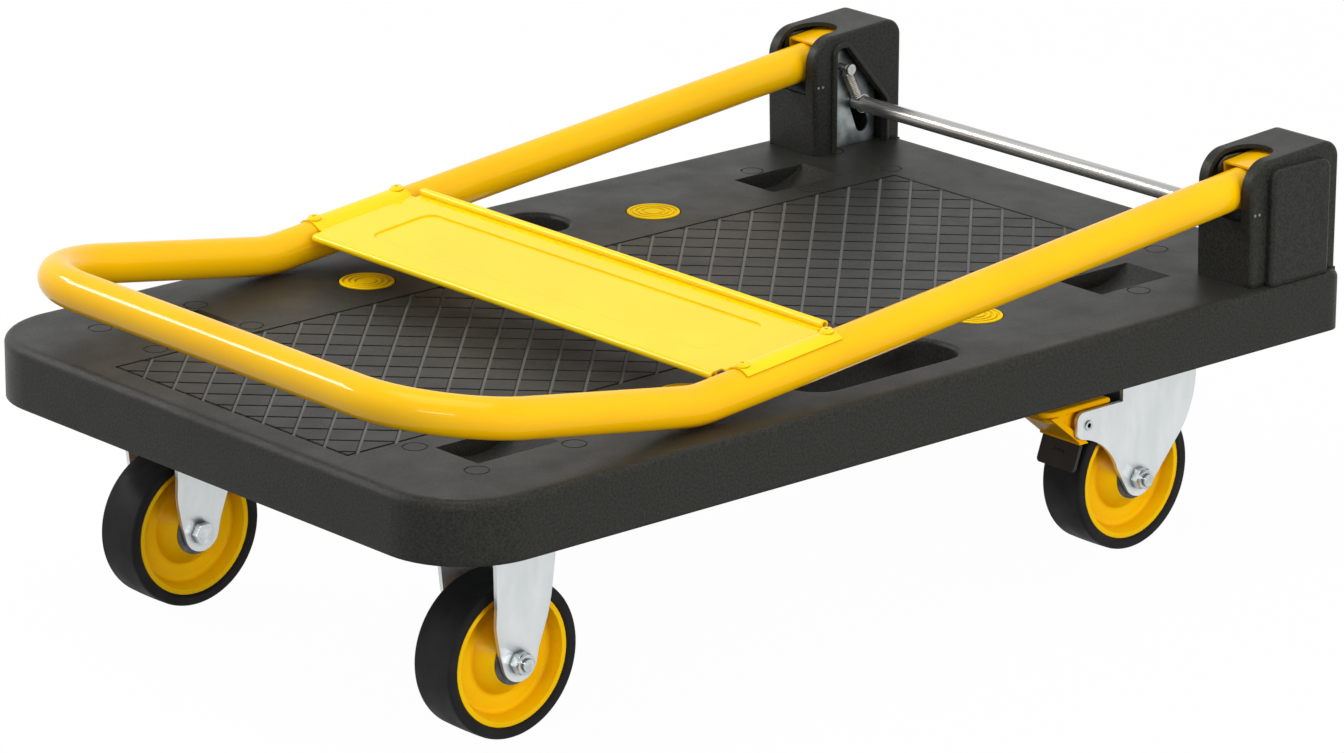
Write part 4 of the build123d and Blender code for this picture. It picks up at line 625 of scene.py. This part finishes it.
# %% Shoe plastic and blackened steel
shoe_plastic, tree, shader = new_finish("shoe_plastic", shine=0.2)
shades = noise(tree, per_metre=50, detail=4)
patches(tree, shader, shades, first=(0.032, 0.026, 0.022), second=(0.044, 0.036, 0.031))
vary_roughness(tree, shader, noise(tree, per_metre=80, detail=3), low=0.42, high=0.55)
bumps = noise(tree, per_metre=1200, detail=2)
raise_surface(tree, shader, bumps, height=0.00006, strength=0.4, edge_radius=0.0006)

black_steel, tree, shader = new_finish("blackened_steel", metallic=1.0)
shades = noise(tree, per_metre=120, detail=4)
patches(tree, shader, shades, first=(0.06, 0.06, 0.065), second=(0.12, 0.12, 0.125))
vary_roughness(tree, shader, noise(tree, per_metre=200, detail=3), low=0.28, high=0.42)
bumps = noise(tree, per_metre=700)
raise_surface(tree, shader, bumps, height=0.00002, strength=0.3, edge_radius=0.0005)
print("made", shoe_plastic.name, "and", black_steel.name)

# %% [markdown]
# Every CAD piece already names a material slot in the record. One table from slot to finish dresses them
# all, which is shorter than going piece by piece. A few pieces look different from the rest of their slot,
# such as the springs and the bolts, so a second table dresses those after it.

# %% Dress the frame
finish_of_slot = {
    "deck_plastic": charcoal,
    "yellow_paint": yellow_paint,
    "yellow_plastic": amber,
    "tyre_rubber": rubber,
    "zinc": zinc,
    "bright_steel": drawn_steel,
    "black_plastic": shoe_plastic,
    "dark_steel": black_steel,
}
finish_of_piece = {
    "front_axle_bolts": bright_zinc,
    "front_axle_nuts": bright_zinc,
    "caster_bolts": bright_zinc,
    "hinge_bracket_bolts": bright_zinc,
    "spring_studs": drawn_steel,
    "cross_plate": sheet_paint,
    "cross_plate_rivets": sheet_paint,
    "deck_plugs": lemon,
}
for side in ("left", "right"):
    finish_of_piece[f"{side}_return_spring"] = spring_wire
    finish_of_piece[f"{side}_hinge_bracket"] = shaded_inner_zinc
    finish_of_piece[f"{side}_brake_pedal"] = orange
    finish_of_piece[f"rear_{side}_axle_bolt"] = bright_zinc
    finish_of_piece[f"rear_{side}_axle_nut"] = bright_zinc
    finish_of_piece[f"rear_{side}_pedal_pin"] = bright_zinc

subparts = frame["record"]["subparts"]
for subpart in subparts:
    nodes[subpart["node"]].material_slots[0].material = finish_of_slot[subpart["material_slot"]]
for name, finish in finish_of_piece.items():
    nodes[name].material_slots[0].material = finish
print("dressed", len(subparts), "pieces,", len(finish_of_piece), "of them apart from their slot")

# %% [markdown]
# A moulded cover often keeps a pair of small round pips where two halves of the mould were keyed. They are
# too small to matter in CAD, and a bump map can't give them a clean outline. Here each pair is two
# flattened balls half sunk in the cover's wall.

# %% Pips on the hinge covers
pips_in_pair = 2
pip_radius = 0.0011
pip_flatness = 0.5
pip_spacing = 0.0042
pip_front = 0.3005
pip_level = 0.2318
pip_segments = 20
pip_rings = 12
pip_walls = {"left_hinge_cover": -0.2318, "right_hinge_cover": 0.1828}

for cover, wall in pip_walls.items():
    shape = bmesh.new()
    for step in range(pips_in_pair):
        place = Matrix.Translation((pip_front + step * pip_spacing, wall, pip_level))
        flat = Matrix.Diagonal((1, pip_flatness, 1, 1))
        bmesh.ops.create_uvsphere(
            shape, u_segments=pip_segments, v_segments=pip_rings, radius=pip_radius, matrix=place @ flat
        )
    for face in shape.faces:
        face.smooth = True
    mesh = bpy.data.meshes.new(f"{cover}_pips")
    shape.to_mesh(mesh)
    shape.free()
    mesh.materials.append(pale_pip_plastic)
    pips = add_object(f"{cover}_pips", mesh)
    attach(pips, "deck_frame")
    print("made", pips.name)

# %% [markdown]
# The last cell prints how far the dressed model's box stands out past the CAD model's box, in millimetres on
# each side. If a new piece stood out too far, these would not be zero, and the piece would have to shrink or
# the CAD grow.

# %% Compare sizes and finish
shown_low, shown_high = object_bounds()
grown = [round(mm_in_metre * value, 2) for value in (*(cad_low - shown_low), *(shown_high - cad_high))]
print("grown by", grown, "mm")
